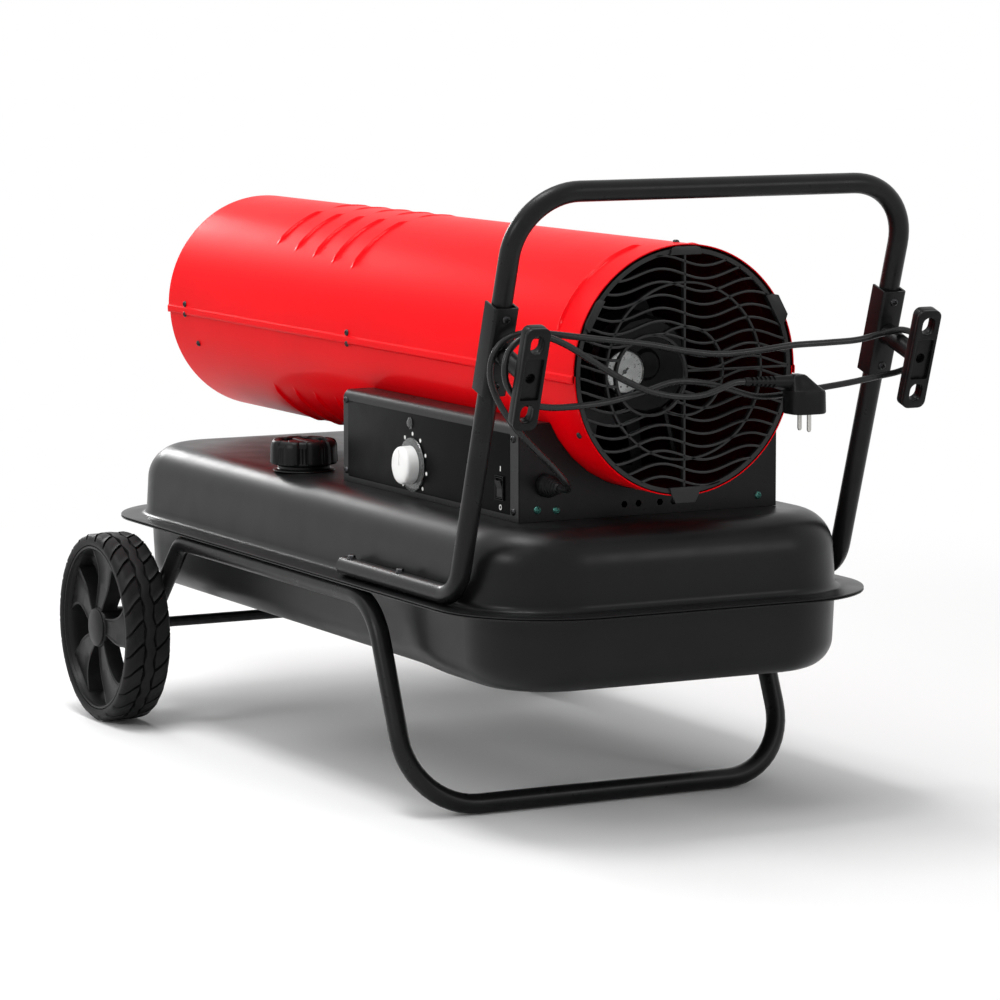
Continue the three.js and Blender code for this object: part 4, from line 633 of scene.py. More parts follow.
def barrel_sheet(radius, start, end, beads, lapped=False):
    """Half of the barrel, with finer steps at the beads and, where it is lapped, at the seam's edge."""
    stations = {0.0, -0.6, -1.6, -4.0, float(-BARREL_LENGTH), 4.0 - BARREL_LENGTH, 1.0 - BARREL_LENGTH}
    stations.update(-BARREL_LENGTH * i / 24 for i in range(1, 24))
    for x in sorted({bead[0] for bead in beads}):
        stations = {s for s in stations if abs(s - x) > 6.5}
        stations.update(x + offset for offset in (-6.2, -4.5, -3.6, -2.6, -1.4, 0, 1.4, 2.6, 3.6, 4.5, 6.2))
    angles = {start + (end - start) * i / 150 for i in range(151)}
    if lapped:
        angles = {a for a in angles if abs(a + 0.2) > 0.9 and abs(a - 180.2) > 0.9}
        for offset in (-1.0, -0.6, -0.2, 0.2, 0.6, 1.0):
            angles.update((offset, 180 - offset))
    angles = sorted(angles)
    rows = []
    for x in sorted(stations):
        row = []
        for degrees in angles:
            out = radius + bead_rise(beads, x, degrees)
            if lapped:
                out += 1.5 * smoothstep(-0.6, 0.2, max(-degrees, degrees - 180))
            row.append((x, *around_barrel(out, degrees)))
        rows.append(row)
    return patch(rows)


def make_barrel():
    lap = asin(SEAM_LAP / BARREL_RADIUS) * (180 / pi)
    upper, lower = [], []
    for x, start in zip(BEAD_ROWS_X, BEAD_STARTS):
        upper += [(x, start, 74, BEAD_HEIGHT), (x, 106, 180 - start, BEAD_HEIGHT)]
        upper.append((x, 78, 102, TOP_BEAD_HEIGHT))
        lower += [(x, -74, -36, BEAD_HEIGHT), (x, -144, -106, BEAD_HEIGHT)]
    upper += [(INLET_BEAD_X, 19, 79, BEAD_HEIGHT), (INLET_BEAD_X, 101, 161, BEAD_HEIGHT)]
    for name, shape, replaced in (
        ("barrel_top_sheet", barrel_sheet(BARREL_RADIUS, -lap, 180 + lap, upper, True), "barrel_upper_shell"),
        ("barrel_bottom_sheet", barrel_sheet(LOWER_RADIUS, -180, 0, lower), "barrel_lower_shell"),
    ):
        # The inside faces get the inner finish: red darkened nearly to black, as painted shade.
        sheet = piece(name, shape, RED, replaced, inner=INNER_PAINTED_SHADE).modifiers.new("sheet", "SOLIDIFY")
        adjust(sheet, thickness=SHEET * MM, offset=-1, use_even_offset=True, material_offset=1)


def make_outlet():
    """What the outlet shows: the rolled end ring, the swaged flame tube and the cone in its mouth."""
    rolled = [  # radius, distance in from the barrel's end
        (LINER_RADIUS, 22), (LINER_RADIUS, 3), (130.6, 2.2), (129.4, 2), (127.6, 2.3), (111, 14.2),
        (110, 15), (110.6, 16), (112.2, 15.8), (128, 5.4), (129.4, 6), (129.6, 22),
    ]
    rolled = hoop([(radius, -BARREL_LENGTH + x) for radius, x in rolled], "x", 120)
    piece("outlet_rolled_ring", on_axis(rolled), HOT_STEEL, "outlet_ring")

    def beaded(radius):
        swage = ((0, 5), (1.2, 2), (1.2, -2), (0, -5))
        return [(radius + out, x + along) for x in CHAMBER_BEADS_X for out, along in swage]

    outside, inside = CHAMBER_RADIUS, CHAMBER_RADIUS - CHAMBER_WALL
    start, end = CHAMBER_START_X, CHAMBER_END_X
    outer = [(46, start), (inside, start), (outside, start - CHAMBER_WALL), *beaded(outside)]
    outer += [(outside, end + 3), (98.7, end + 1.4), (98.1, end)]
    inner = [(46, start - CHAMBER_WALL), (inside, start - CHAMBER_WALL), *beaded(inside)]
    inner += [(inside, end + 3), (96.7, end + 0.6), (97.2, end)]
    shapes = [hoop(outer + inner[::-1], "x", 120)]
    for x in (-500, -960):
        foot = box(x - 15, x + 15, -8, 8, CHAMBER_RADIUS - 1, LINER_RADIUS - 1)
        shapes += [about_x(foot, degrees) for degrees in (60, 180, 300)]
    piece("flame_tube", on_axis(merged(*shapes)), HOT_STEEL, "combustion_chamber")

    tip = CHAMBER_END_X + 40
    shapes = [turned([
        (0, tip), (3, tip + 0.2), (60, tip + 15.4), (62, tip + 16.4), (62, tip + 17.8), (60.4, tip + 18),
        (0, tip + 3),
    ], "x", 96)]
    arm = box(tip + 15, tip + 17, -6, 6, 55, CHAMBER_RADIUS - 3.3)
    shapes += [about_x(arm, degrees) for degrees in (90, 210, 330)]
    piece("flame_cone", on_axis(merged(*shapes)), HOT_STEEL, "flame_deflector")


# ----- inlet grille and gauge

GRILLE_RADIUS = 131
GRILLE_DEPTH = 6
WINDOW_Y, WINDOW_Z, WINDOW_RADIUS = -40, -3, 41
WAVE, WAVELENGTH, CREST = 6.0, 109, -29
BAR = 2.8


def in_window(y, z):
    return hypot(y - WINDOW_Y, z - WINDOW_Z) < WINDOW_RADIUS + 1.5


def wavy_bars():
    """Each bar is cut where it meets the rim or the sight window."""
    shapes = []
    bars, pitch, steps = 18, 13.8, 150
    for i in range(bars):
        height = (i - (bars - 1) / 2) * pitch
        run = []
        for step in range(steps + 1):
            y = -GRILLE_RADIUS + 2 * GRILLE_RADIUS * step / steps
            z = height + WAVE * cos(2 * pi * (y - CREST) / WAVELENGTH)
            if hypot(y, z) < GRILLE_RADIUS - 3 and not in_window(y, z):
                run.append((y, z))
                continue
            if len(run) > 2:
                shapes.append(ribbon(run))
            run = []
    return shapes


def ribbon(run):
    """A bar with softened front edges along a line in the grille's plane."""
    half, soft = BAR / 2, 0.7
    section = [
        (-half, -GRILLE_DEPTH), (half, -GRILLE_DEPTH), (half, -soft), (half - soft * 0.3, -soft * 0.3),
        (half - soft, 0), (-half + soft, 0), (-half + soft * 0.3, -soft * 0.3), (-half, -soft),
    ]
    rings = []
    for i, (y, z) in enumerate(run):
        y0, z0 = run[max(i - 1, 0)]
        y1, z1 = run[min(i + 1, len(run) - 1)]
        across = Vector((-(z1 - z0), y1 - y0)).normalized()
        rings.append([(x, y + across.x * s, z + across.y * s) for s, x in section])
    return skin(rings)


def rim_clip(degrees, reach):
    """A plate on the grille's rim that hooks over the barrel's edge where its reach goes past it."""
    foot = [(-19, 123.5), (19, 123.5), (17, 131), (12, reach), (-12, reach), (-17, 131)]
    shapes = [moved(plate([foot], 2.6), facing(FORWARD, (0.3, 0, 0)))]
    shapes.append(box(-GRILLE_DEPTH, 1.4, -17, 17, 124, 129))
    if reach > BARREL_RADIUS + 2:
        shapes.append(box(-10, 2, -10, 10, reach - 2.6, reach - 0.4))
    return about_x(merged(*shapes), degrees)


def make_grille():
    shapes = wavy_bars()
    shapes.append(ring(93, 95.6, -GRILLE_DEPTH, 0, "x", 128))
    arc = [(atan2(z, y), y, z) for y, z in circle(47.3, 128) if not in_window(y, z)]
    shapes.append(ribbon([(y, z) for _, y, z in sorted(arc)]))
    shapes.append(ring(GRILLE_RADIUS - 5, GRILLE_RADIUS, -GRILLE_DEPTH, 0, "x", 128))
    window = ring(WINDOW_RADIUS, WINDOW_RADIUS + 3, -GRILLE_DEPTH, 0, "x", 96)
    shapes.append(shifted(window, 0, WINDOW_Y, WINDOW_Z))
    for y0, z0, y1, z1 in ((0, 22, 0, 127), (0, -26, 0, -127), (3, 0, 127, 0)):
        shapes.append(ribbon([(y0 + (y1 - y0) * i / 20, z0 + (z1 - z0) * i / 20) for i in range(21)]))
    shapes += [rim_clip(*clip) for clip in ((0, 132.5), (-61, 137), (180, 140.5), (60, 132.5))]
    piece("grille_moulding", on_axis(merged(*shapes)), GRILLE_BLACK_AND_SHEEN, "inlet_grille")


def on_dial(shape, radius, degrees, x, upright=True):
    """Puts a flat shape on the gauge's face. The angle runs clockwise from the top."""
    angle = radians(degrees)
    # The face looks towards +x, so a viewer there has +y on the right.
    place = (x, GAUGE_Y + radius * sin(angle), GAUGE_Z + radius * cos(angle))
    return moved(shape, facing(FORWARD, place) @ Matrix.Rotation(0 if upright else -angle, 4, "Z"))


def make_gauge():
    face, radius = -60, 25
    case = turned([
        (0, -83), (radius - 3, -83), (radius, -80), (radius, face + 1.5), (radius - 0.8, face + 3),
        (radius - 2.2, face + 3), (radius - 2.6, face + 1), (radius - 2.6, face - 0.6), (0, face - 0.6),
    ], "x", 64)
    case = shifted(case, 0, GAUGE_Y, GAUGE_Z)
    piece("gauge_housing", case, PLASTIC, "gauge_case")
    dial = rod(radius - 2.8, face - 0.7, face - 0.5, "x", 64)
    piece("gauge_dial", shifted(dial, 0, GAUGE_Y, GAUGE_Z), DIAL)
    marks = []
    first, sweep, steps = -135, 270, 20
    for i in range(steps + 1):
        half, low = (0.35, -1.7) if i % 5 == 0 else (0.2, -1)
        mark = box(-half, half, low, 1, 0.03, 0.18)
        marks.append(on_dial(mark, 19.4, first + sweep * i / steps, face - 0.55, upright=False))
    for number in range(5):
        marks.append(on_dial(text_shape(str(number), 5, 0.08), 14, first + sweep * number / 4, face - 0.5))
    for side in (-1, 1):
        place = (face - 0.55, GAUGE_Y + side * 4, GAUGE_Z - 16)
        marks.append(moved(rod(1.2, 0, 0.15, "z", 20), facing(FORWARD, place)))
    piece("gauge_marks", merged(*marks), INK)


# ----- tank

def tank_outline(inset, z, recess):
    """The flange's rounded rectangle drawn in by an inset, pinched beside the frame tubes."""
    half_x, half_y = FLANGE_LENGTH / 2 - inset, FLANGE_WIDTH / 2 - inset
    radius = FLANGE_CORNER - inset
    straight = [x for x in range(-440, 441, 20) if abs(x) < half_x - radius]
    outline = corner_arcs(half_x, half_y, radius, 18)
    outline.insert(1, [(x, half_y) for x in reversed(straight)])
    outline.insert(4, [(x, -half_y) for x in straight])
    points = [(x + TANK_CENTRE_X, y) for points in outline for x, y in points]
    return [(x, y * (1 - recess * (1 - smoothstep(-255, -150, x)) / half_y), z) for x, y in points]


def tank_half(up, face_z, edge, recess):
    """One pressed half: rolled flange, soft root, drafted wall and rounded edge into a flat face."""
    seam = TANK_SEAM_Z + up * 0.1
    flange = FLANGE_TOP_Z if up > 0 else FLANGE_BOTTOM_Z
    reach, root, draft = 32, 8, 2
    wall_top = face_z - up * edge
    levels = [  # inset, z, share of the recess
        (3, seam, 0), (0.5, seam + up * 0.4, 0), (0, seam + up * 1, 0), (0.5, flange - up * 0.3, 0),
        (2, flange, 0), (reach - root - 3, flange, 0),
    ]
    for step, (cosine, sine) in enumerate(quarter_turn(6)):
        levels.append((reach - root + root * sine, flange + up * root * (1 - cosine), step / 6))
    levels.append((reach + draft * 0.5, (flange + up * root + wall_top) / 2, 1))
    for cosine, sine in quarter_turn(12):
        levels.append((reach + draft + edge * (1 - cosine), wall_top + up * edge * sine, 1))
    levels.append((reach + draft + edge + 14, face_z, 1))
    return skin([tank_outline(inset, z, recess * share) for inset, z, share in levels])


def make_tank():
    top, bottom = tank_half(1, TANK_TOP_Z, 43, 0), tank_half(-1, TANK_BOTTOM_Z, 33, 8)
    piece("tank_top_pressing", top, TANK, "tank_upper_shell", crease=40)
    piece("tank_bottom_pressing", bottom, TANK, "tank_lower_shell", crease=40)


def make_fuel_cap():
    """Eight smooth lobes with ribbed pockets between them, round a sunken top."""
    lobes, radius, first_lobe = 8, 40.5, radians(-5)
    steps = lobes * 24

    def outline(scale, ribs, pocket):
        points = []
        for i in range(steps):
            angle = 2 * pi * i / steps
            wave = cos(lobes * (angle - first_lobe))
            r = radius * scale
            if wave < -0.25:
                r -= pocket * smoothstep(-0.25, -0.6, wave) if wave > -0.6 else pocket
                if ribs and wave < -0.5 and i % 3 == 0:
                    r += 0.9
            else:
                r -= 0.9 * (1 - smoothstep(-0.25, 0.7, wave))
            points.append((r * cos(angle), r * sin(angle)))
        return points

    levels = [  # z, scale, ribbed pockets, pocket depth
        (339.5, 0.955, 0, 1.5), (340.3, 0.985, 0, 2), (341.9, 1, 0, 3), (342.3, 1, 1, 3.6),
        (360, 0.985, 1, 3.6), (360.6, 0.982, 0, 3.4), (364, 0.965, 0, 3.6), (366.2, 0.935, 0, 3.8),
        (367.5, 0.89, 0, 3.8), (368, 0.83, 0, 3.6), (367.8, 0.77, 0, 3.2), (366.6, 0.725, 0, 2.6),
        (363.8, 0.7, 0, 1.6), (363.2, 0.66, 0, 0.4),
    ]
    rings = [[(u, v, z) for u, v in outline(*level)] for z, *level in levels]
    disc = turned([(0, 362), (19, 362), (19, 364.8), (18, 365.8), (8, 366.1), (0, 366.2)], "z", 56)
    grip = []
    for z, wide, long in ((364, 5.4, 25), (366.4, 4.6, 24.4), (367.2, 3.6, 23.4), (367.4, 2.4, 22)):
        grip.append([(u, v, z) for u, v in oblong(2 * long, 2 * wide, wide * 0.8)])
    whole = shifted(merged(skin(rings), disc, skin(grip)), CAP_X, CAP_Y, 0)
    piece("cap_moulding", whole, PLASTIC, "fuel_cap", "cap", crease=30)
    neck = hoop([
        (24, 320), (27, 320), (27, 331.3), (36, 331.3), (36.6, 331.9), (36, 332.9), (31.4, 333.6),
        (30.6, 334.4), (30.6, 337), (30, 337.6), (27, 337.9), (27, 345.6), (26.4, 346), (24.4, 346),
        (24, 345.4),
    ], "z", 64)
    piece("neck_pressing", shifted(neck, CAP_X, CAP_Y, 0), BLACK, "filler_neck")


# ----- frame, handle and cleats

def make_frame_tube():
    frame_y, frame_z = 238, FLANGE_BOTTOM_Z - 0.3 - TUBE_RADIUS
    heel_x, knee_x, foot_x = -797, -269, -174.5
    lean = Vector((heel_x - AXLE_X, frame_z - WHEEL_RADIUS)).normalized()
    side = [
        (AXLE_X - lean.x * 15, WHEEL_RADIUS - lean.y * 15), (heel_x, frame_z), (knee_x, frame_z),
        (foot_x, TUBE_RADIUS),
    ]
    corners = [(x, -frame_y, z) for x, z in side] + [(x, frame_y, z) for x, z in side[::-1]]
    path = bent(corners, [42, 72, 80, 80, 72, 42])
    piece("frame_tube", tube(path, TUBE_RADIUS), BLACK, "wheel_frame")


def leg_point(distance):
    x, z = HANDLE_JOINT
    return x + distance * sin(HANDLE_LEAN), z + distance * cos(HANDLE_LEAN)


def make_handle():
    start = leg_point(0.15)
    top = leg_point((HANDLE_TOP_Z - HANDLE_JOINT[1]) / cos(HANDLE_LEAN))
    route = (start, NEAR), (top, NEAR), (top, FAR), (start, FAR)
    corners = [(x, side * HANDLE_Y, z) for (x, z), side in route]
    piece("hoop_tube", tube(bent(corners, [70, 70], steps=16), TUBE_RADIUS), BLACK, "handle_hoop")
    end_x, end_z = leg_point(-0.15)
    corner_x = leg_point((LEG_Z - HANDLE_JOINT[1]) / cos(HANDLE_LEAN))[0]
    for label, side in SIDES:
        y = side * HANDLE_Y
        path = bent([(-349, y, LEG_Z), (corner_x, y, LEG_Z), (end_x, y, end_z)], [45])
        piece(f"{label}_leg_tube", tube(path, TUBE_RADIUS), BLACK, f"{label}_handle_leg")


def leaned(shape, side):
    """From the handle's joint, leg along z and bracket towards +x, into place."""
    x, z = HANDLE_JOINT
    return moved(shape, Matrix.Translation((x, side * HANDLE_Y, z)) @ Matrix.Rotation(HANDLE_LEAN, 4, "Y"))


def make_brackets():
    length, face, half, wall, soft = 98, 14, 14, 2.7, 3.2
    softer = soft * 0.3
    outer = [(-11, -half), (face - soft, -half), (face - softer, -half + softer), (face, -half + soft)]
    outer += [(u, -v) for u, v in reversed(outer)]
    inner = [(-11, half - wall), (face - wall, half - wall), (face - wall, wall - half), (-11, wall - half)]
    for label, side in SIDES:
        channel = leaned(shifted(plate([outer + inner], length, 0.5), 0, 0, -length / 2), side)
        piece(f"{label}_bracket_channel", channel, BLACK, f"{label}_handle_bracket", crease=50)
        screws = [pan_screw(4.6, 2.8, FORWARD, (face, 0, z)) for z in (-37, 37)]
        piece(f"{label}_bracket_screws", leaned(merged(*screws), side), DARK_SCREW)


def make_cleats():
    back, front, mid = 72, 86, 81
    outline = oblong(28, 112, 8)
    slots = [oblong(15, 20, 7.2, 0, z) for z in (-38, 38)]
    panel = oblong(21, 45, 2)
    to_x = facing(FORWARD, (0, 0, 0))
    for label, side in SIDES:
        rear = plate([outline, *slots, circle(5.2, 28)], mid - back + 0.6, 1.0)
        fore = plate([outline, *slots, panel], front - mid, 1.0)
        post = turned([
            (0, 14.3), (11.6, 14.3), (11.6, 15.6), (10, 18), (9.8, 60), (10.4, back + 0.6), (0, back + 0.6),
        ], "x", 40)
        seat = rod(5.3, back + 0.5, back + 2, "x", 28)
        plates = moved(merged(shifted(rear, 0, 0, back), shifted(fore, 0, 0, mid)), to_x)
        whole = leaned(merged(plates, post, seat), side)
        piece(f"{label}_cleat_moulding", whole, PLASTIC, f"{label}_cord_cleat", crease=36)
        screw = pan_screw(4.4, 2.6, FORWARD, (back + 2, 0, 0))
        piece(f"{label}_cleat_screw", leaned(screw, side), DARK_SCREW)


# ----- wheels

def tyre_shape():
    """Two rows of curved, saw-toothed blocks, half a pitch apart, either side of a scalloped band."""
    blocks = 26
    # Fractions of one block's pitch. The groove of one row lies in the middle of the other row's block.
    fractions = (0.0, 0.03, 0.08, 0.15, 0.18, 0.34, 0.5, 0.53, 0.58, 0.65, 0.68, 0.84)
    depth, tooth, scallop = 4.6, 1.5, 1.5
    body = [  # radius, half width, how deep the grooves are here, or below 0 on the scalloped band
        (RIM_RADIUS, 26.5, 0), (102.4, 27.8, 0), (105, 28.4, 0), (107, 28.5, 0), (108.6, 28.3, 0.2),
        (110.6, 27.6, 0.7), (112.8, 26, 1), (114.3, 23.6, 1), (115.1, 20, 1), (115.4, 15, 1),
        (115.6, 10.6, 1), (115.5, 8.2, 1), (115.6 - depth, 7.0, -1), (115.6 - depth, 6.2, -1),
        (115.2, 5.2, -1), (115.6, 2.4, 0), (115.6, 0, 0),
    ]
    stations = body + [(r, -w, share) for r, w, share in reversed(body[:-1])]
    stations += [(RIM_RADIUS - 0.2, -26.4, 0), (RIM_RADIUS - 0.2, 26.4, 0)]
    rings = []
    for radius, across, share in stations:
        row, start = (1, 0.0) if across >= 0 else (-1, 0.5)
        sweep = row * 0.2 * (abs(across) / 28) ** 1.7
        points = []
        for block in range(blocks):
            for fraction in fractions:
                into = (fraction - start) % 1.0
                r, w = radius, across
                if share > 0:
                    in_groove = 0.02 < into < 0.16
                    r -= depth * share if in_groove else tooth * share * (into if into > 0.1 else 0.0)
                if share < 0:
                    w += row * scallop * cos(2 * pi * (into - 0.1))
                angle = 2 * pi * (block + fraction) / blocks + sweep
                points.append((r * cos(angle), w, r * sin(angle)))
        rings.append(points)
    return skin(rings, closed=True)


def spoke(turn):
    """A wide channel, raised along both edges, that widens and drops back from the hub to the rim."""
    section = [  # share of the half width, distance from the front
        (-1, 0.2), (-0.86, 0.9), (-0.74, -0.7), (0, -1.1), (0.74, -0.7), (0.86, 0.9), (1, 0.2),
        (1.05, -19), (0.84, -19), (0.78, -4), (-0.78, -4), (-0.84, -19), (-1.05, -19),
    ]
    rings = []
    for t in (step / 14 for step in range(15)):
        radius = 20 + 75.5 * t
        bend = turn + 0.2 * sin(pi * t) * (1 - 0.4 * t)
        half = (10 + 17 * t ** 1.3 + 6 * smoothstep(0.72, 1, t)) / radius
        front = 21.6 - 3.2 * smoothstep(0, 0.9, t)
        rings.append([
            (radius * cos(bend + share * half), front + back, radius * sin(bend + share * half))
            for share, back in section
        ])
    return skin(rings)


def rim_shape():
    barrel = hoop([
        (94, -26), (100.4, -26), (100.6, -25), (100.4, 24.6), (99.8, 26.2), (98.6, 26.6), (97.2, 26),
        (96.8, 24.4), (96, 22), (94, 18), (93.4, 8), (93.4, -24),
    ], "y", 96)
    groove = hoop([(96.9, 21), (98.6, 23.6), (96.2, 23.2)], "y", 96)
    hub = hoop([
        (7, -26), (22, -26), (23, -25), (24.4, 10), (25, 18), (24.6, 21.4), (23.4, 22.8), (7, 22.8),
    ], "y", 64)
    first = radians(97)
    return merged(barrel, groove, hub, *[spoke(first + i * 2 * pi / 5) for i in range(5)])


def make_wheels():
    dome = turned([
        (0, 23.2), (23, 23.2), (23.4, 24), (22.6, 25.2), (19, 26.6), (13, 27.7), (6, 28.2), (0, 28.3),
    ], "y", 48)
    for label, side in SIDES:
        # Wheels are modelled with the outer face towards +y and turned over for the near side.
        face_out = Matrix.Identity(4) if side == FAR else Matrix.Rotation(pi, 4, "Z")
        place = Matrix.Translation((AXLE_X, side * WHEEL_Y, WHEEL_RADIUS)) @ face_out
        for name, shape, finish, replaced, crease in (
            ("tyre_tread", tyre_shape(), TYRE, "tyre", 38), ("spoked_rim", rim_shape(), RIM, "wheel_rim", 36),
            ("hub_dome", dome, RIM, "hub_cap", 32),
        ):
            piece(f"{label}_{name}", moved(shape, place), finish, f"{label}_{replaced}", f"{label}_wheel",
                  crease=crease)
    washers = []
    for _, side in SIDES:
        low, high = sorted((side * 249.6, side * 254.2))
        washers.append(shifted(ring(6.6, 12, low, high, "y", 40), AXLE_X, 0, WHEEL_RADIUS))
    piece("axle_washers", merged(*washers), ZINC)


# ----- housing and controls

def housing_wall(side):
    """The folded long side: a wall with a rounded top edge and a ledge towards the barrel."""
    half, edge = HOUSING_HALF_Y, 10
    fold = sqrt(LOWER_RADIUS ** 2 - (AXIS_Z - HOUSING_TOP_Z) ** 2) + 1
    lines = []
    for sheet in (0, SHEET):
        radius = edge - sheet
        arc = [(half - edge + radius * c, HOUSING_TOP_Z - edge + radius * s) for c, s in quarter_turn(12)]
        lines.append([(half - sheet, HOUSING_FLOOR_Z), *arc, (fold, HOUSING_TOP_Z - sheet)])
    profile = [(side * y, z) for y, z in lines[0] + lines[1][::-1]]
    return skin([[(x, y, z) for y, z in profile] for x in (HOUSING_REAR_X, HOUSING_FRONT_X)])


def on_panel(shape, x, z, out=0.0):
    """Puts a flat shape on the control panel, upright and facing away from the barrel."""
    return moved(shape, facing((0, -1, 0), (x, -HOUSING_HALF_Y - out, z)))


def make_housing():
    piece("panel_wall", housing_wall(NEAR), BLACK, "control_panel")
    piece("far_wall", housing_wall(FAR), BLACK, "side_cover")
    fascia = plate([oblong(400, 87, 1.5, steps=3)], 0.3, 0.1)
    piece("panel_fascia", on_panel(fascia, -295, 381.5), PANEL)


def make_knob():
    """A smooth white grip on a smoked skirt, with dots printed round it on the fascia."""
    grip = turned([
        (0, 1.9), (20.9, 1.9), (21.5, 2.4), (21.2, 13.2), (20.8, 15.2), (19.8, 16.7), (18.2, 17.5),
        (14, 17.8), (0, 17.8),
    ], "z", 96)
    rib = []
    for z, wide, long in ((16.8, 1.9, 9), (18.2, 1.7, 8.8), (18.7, 1.2, 8.3)):
        rib.append([(u, v, z) for u, v in oblong(2 * wide, 2 * long, wide * 0.9, 0, 9.5, steps=5)])
    grip = on_panel(merged(grip, skin(rib)), KNOB_X, KNOB_Z)
    piece("knob_grip", grip, WHITE, "thermostat_knob", "thermostat_dial", crease=50)
    skirt = turned([(0, 0.9), (30, 0.9), (30.5, 1.4), (30, 2.6), (26, 3.2), (0, 3.2)], "z", 72)
    piece("knob_skirt", on_panel(skirt, KNOB_X, KNOB_Z), SMOKE, body="thermostat_dial")
    dots = []
    for i in range(9):
        angle = radians(-135 + 270 * i / 8)
        x, z = KNOB_X + 34.6 * sin(angle), KNOB_Z + 34.6 * cos(angle)
        dots.append(on_panel(rod(2.2, 0, 0.12, "z", 24), x, z, 0.3))
    piece("dial_dots", merged(*dots), PRINT)


def make_switch():
    bezel = plate([oblong(19, 26, 1.6), oblong(14.2, 21.4, 0.8)], 2.4, 0.5)
    piece("switch_bezel", on_panel(bezel, SWITCH_X, SWITCH_Z), PLASTIC)
    stroke = plate([oblong(1.8, 5.6, 0.5, steps=3)], 0.14, 0.04)
    circle_mark = ring(1.7, 3.1, 0, 0.14, "z", 32, edge=0.03)
    marks = merged(on_panel(stroke, SWITCH_X, 385.5, 0.3), on_panel(circle_mark, SWITCH_X, 344, 0.3))
    piece("switch_marks", marks, PRINT)
    dome = turned([
        (0, 0.3), (5.4, 0.3), (6.4, 0.4), (6.4, 1.2), (5.4, 1.7), (4.4, 2.5), (2.4, 3.0), (0, 3.1),
    ], "z", 40)
    piece("lens_dome", on_panel(dome, LENS_X, LENS_Z), SMOKE, "indicator_lens")


def make_gland():
    profile = [(0, -88), (7.5, -88), (7.5, -75.7), (12.2, -75.7), (12.5, -75.2)]
    profile += [(12.5, -68), (12.0, -67), (11.2, -63.5)]
    for rib in range(4):
        x, root = -62.4 + rib * 4, 9.6 - rib * 1.1
        profile += [(root, x), (root + 0.7, x + 0.5), (root + 0.5, x + 2.2), (root - 0.7, x + 2.7)]
    profile += [(4.6, -44.4), (0, -44)]
    piece("gland_moulding", shifted(turned(profile, "x", 36), 0, GLAND_Y, GLAND_Z), PLASTIC, "cable_gland")


def finish_kept_shapes():
    """The parts that keep their CAD shapes get finishes of their own."""
    for finish, nodes in (
        (BLACK, "base_frame fan_motor air_pump_cover"),
        (PLASTIC, "switch_body rocker thermostat_body ignition_transformer flame_sensor"),
        (RUBBER, "cap_seal fuel_hose air_hose ignition_lead"),
        (ZINC, "drain_plug fuel_strainer burner_head motor_shaft"),
        (DARK_SCREW, "axle motor_bracket"), (BRASS, "fuel_pickup fuel_nozzle"), (BOARD, "control_board"),
        (CERAMIC, "spark_plug"), (ALUMINIUM, "air_pump_body"), (HOT_STEEL, "pump_rotor"),
        (FAN_METAL, "fan"), (CLEAR, "gauge_glass"), (INK, "gauge_needle"),
    ):
        for node in nodes.split():
            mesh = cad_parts[node].data
            mesh.materials.clear()
            mesh.materials.append(finish)


# ----- stage

WORLD_LIGHT = 0.4
SUN_LIGHT = 1.0
LAMPS = (  # name, place, aim, width, height, power
    ("overhead", (0.0, -0.7, 2.6), (0, 0, 0.4), 1.3, 0.6, 28),
    ("control_side", (0.6, -3.0, 1.7), (0, 0, 0.4), 1.0, 0.5, 22),
    ("inlet_side", (3.0, 1.6, 1.5), (0.4, 0, 0.4), 0.6, 1.0, 10),
    ("outlet_side", (-2.8, 0.0, 1.2), (0, 0, 0.4), 0.4, 0.6, 16),
)


def seen_directly(tree):
    """1 where the camera, a gloss or a glass sees the surface, 0 where it lights something."""
    total = add_node(tree, "LightPath", {}, "Is Camera Ray")
    rays = total.node.outputs
    for kind in ("Is Glossy Ray", "Is Transmission Ray"):
        total = add_node(tree, "Math", {0: total, 1: rays[kind]}, operation="ADD", use_clamp=True)
    return total


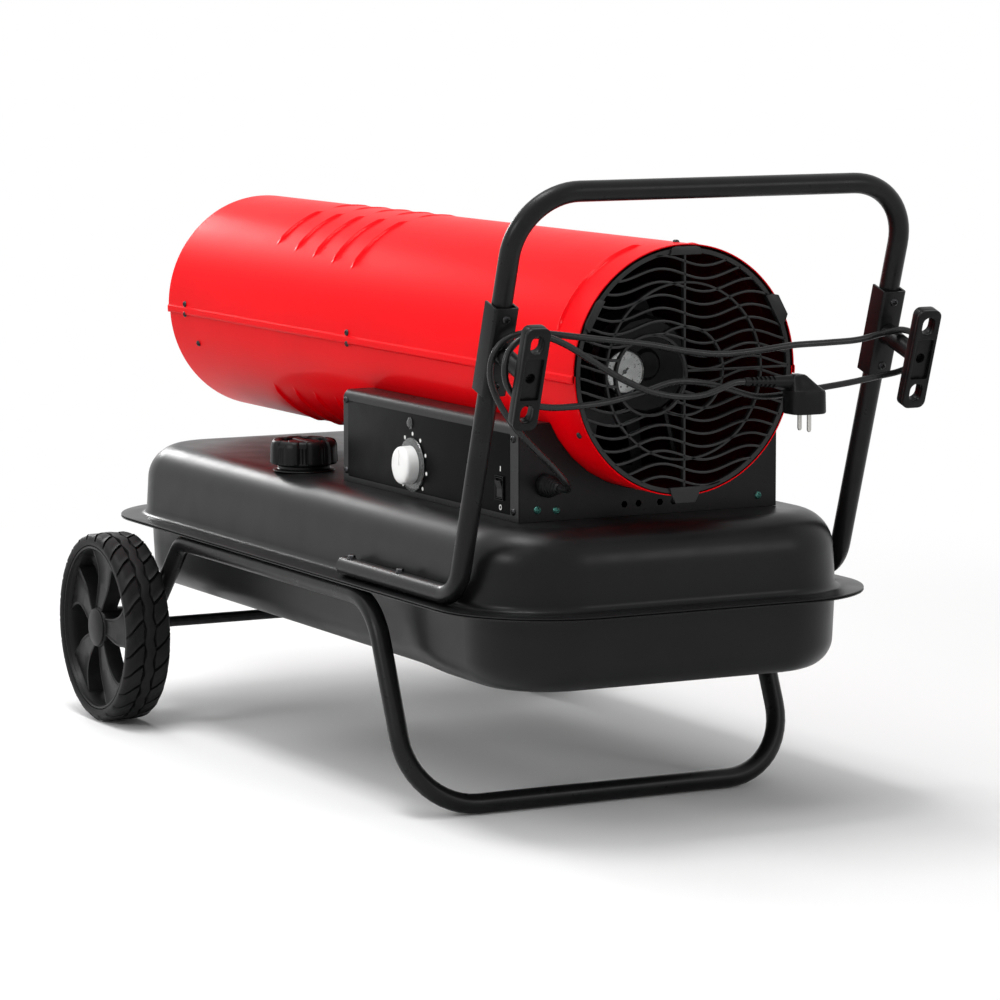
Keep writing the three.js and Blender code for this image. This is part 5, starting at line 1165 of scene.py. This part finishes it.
def make_world():
    world = bpy.data.worlds.new("studio")
    world.use_nodes = True
    bpy.context.scene.world = world
    tree = world.node_tree
    lit = tree.nodes["Background"]
    feed(tree, lit, {"Color": WHITE_LIGHT, "Strength": WORLD_LIGHT})
    white = add_node(tree, "Background", {"Color": WHITE_LIGHT, "Strength": 1.0})
    mix = add_node(tree, "MixShader", {"Fac": seen_directly(tree), 1: lit.outputs[0], 2: white})
    feed(tree, tree.nodes["World Output"], {"Surface": mix})


def floor_finish():
    """Pale and matt round the object, where it holds the shadow, and plain white further out."""
    made = material("pale_floor", None, (0.93, 0.93, 0.93), 0.9, 0.0, 0.01, 0.6, 0.02)
    tree = made.node_tree
    place = add_node(tree, "TexCoord", {}, "Object")
    length = add_node(tree, "VectorMath", {0: place}, "Value", operation="LENGTH")
    reach = {"From Min": 0.8, "From Max": 2.2, "Value": length}
    fade = add_node(tree, "MapRange", reach, "Result", interpolation_type="SMOOTHSTEP")
    both = add_node(tree, "Math", {0: fade, 1: seen_directly(tree)}, operation="MULTIPLY")
    glow = add_node(tree, "Emission", {"Color": WHITE_LIGHT})
    lit = tree.nodes["Principled BSDF"].outputs[0]
    mix = add_node(tree, "MixShader", {"Fac": both, 1: lit, 2: glow})
    feed(tree, tree.nodes["Material Output"], {"Surface": mix})
    return made


def aimed(lamp, place, aim):
    holder = linked(lamp.name, lamp)
    holder.location = place
    holder.rotation_euler = (Vector(aim) - Vector(place)).to_track_quat("-Z", "Y").to_euler()


def make_stage():
    make_world()
    mesh = bpy.data.meshes.new("floor")
    mesh.from_pydata([(-60, -60, 0), (60, -60, 0), (60, 60, 0), (-60, 60, 0)], [], [[0, 1, 2, 3]])
    mesh.materials.append(floor_finish())
    floor = linked("floor", mesh)
    floor.location.z = -0.0006
    sky = adjust(bpy.data.lights.new("sky", "SUN"), energy=SUN_LIGHT, angle=radians(70))
    aimed(sky, (-0.4, -1.0, 3.2), (0, 0, 0))
    for name, place, aim, width, height, power in LAMPS:
        lamp = bpy.data.lights.new(name, "AREA")
        aimed(adjust(lamp, shape="RECTANGLE", size=width, size_y=height, energy=power), place, aim)
    bpy.context.scene.view_settings.view_transform = "Standard"


make_camera()
make_cord()
make_barrel()
make_grille()
make_gauge()
make_tank()
make_fuel_cap()
make_frame_tube()
make_handle()
make_brackets()
make_cleats()
make_wheels()
make_housing()
make_knob()
make_switch()
make_gland()
make_screws()
make_outlet()
finish_kept_shapes()
make_stage()
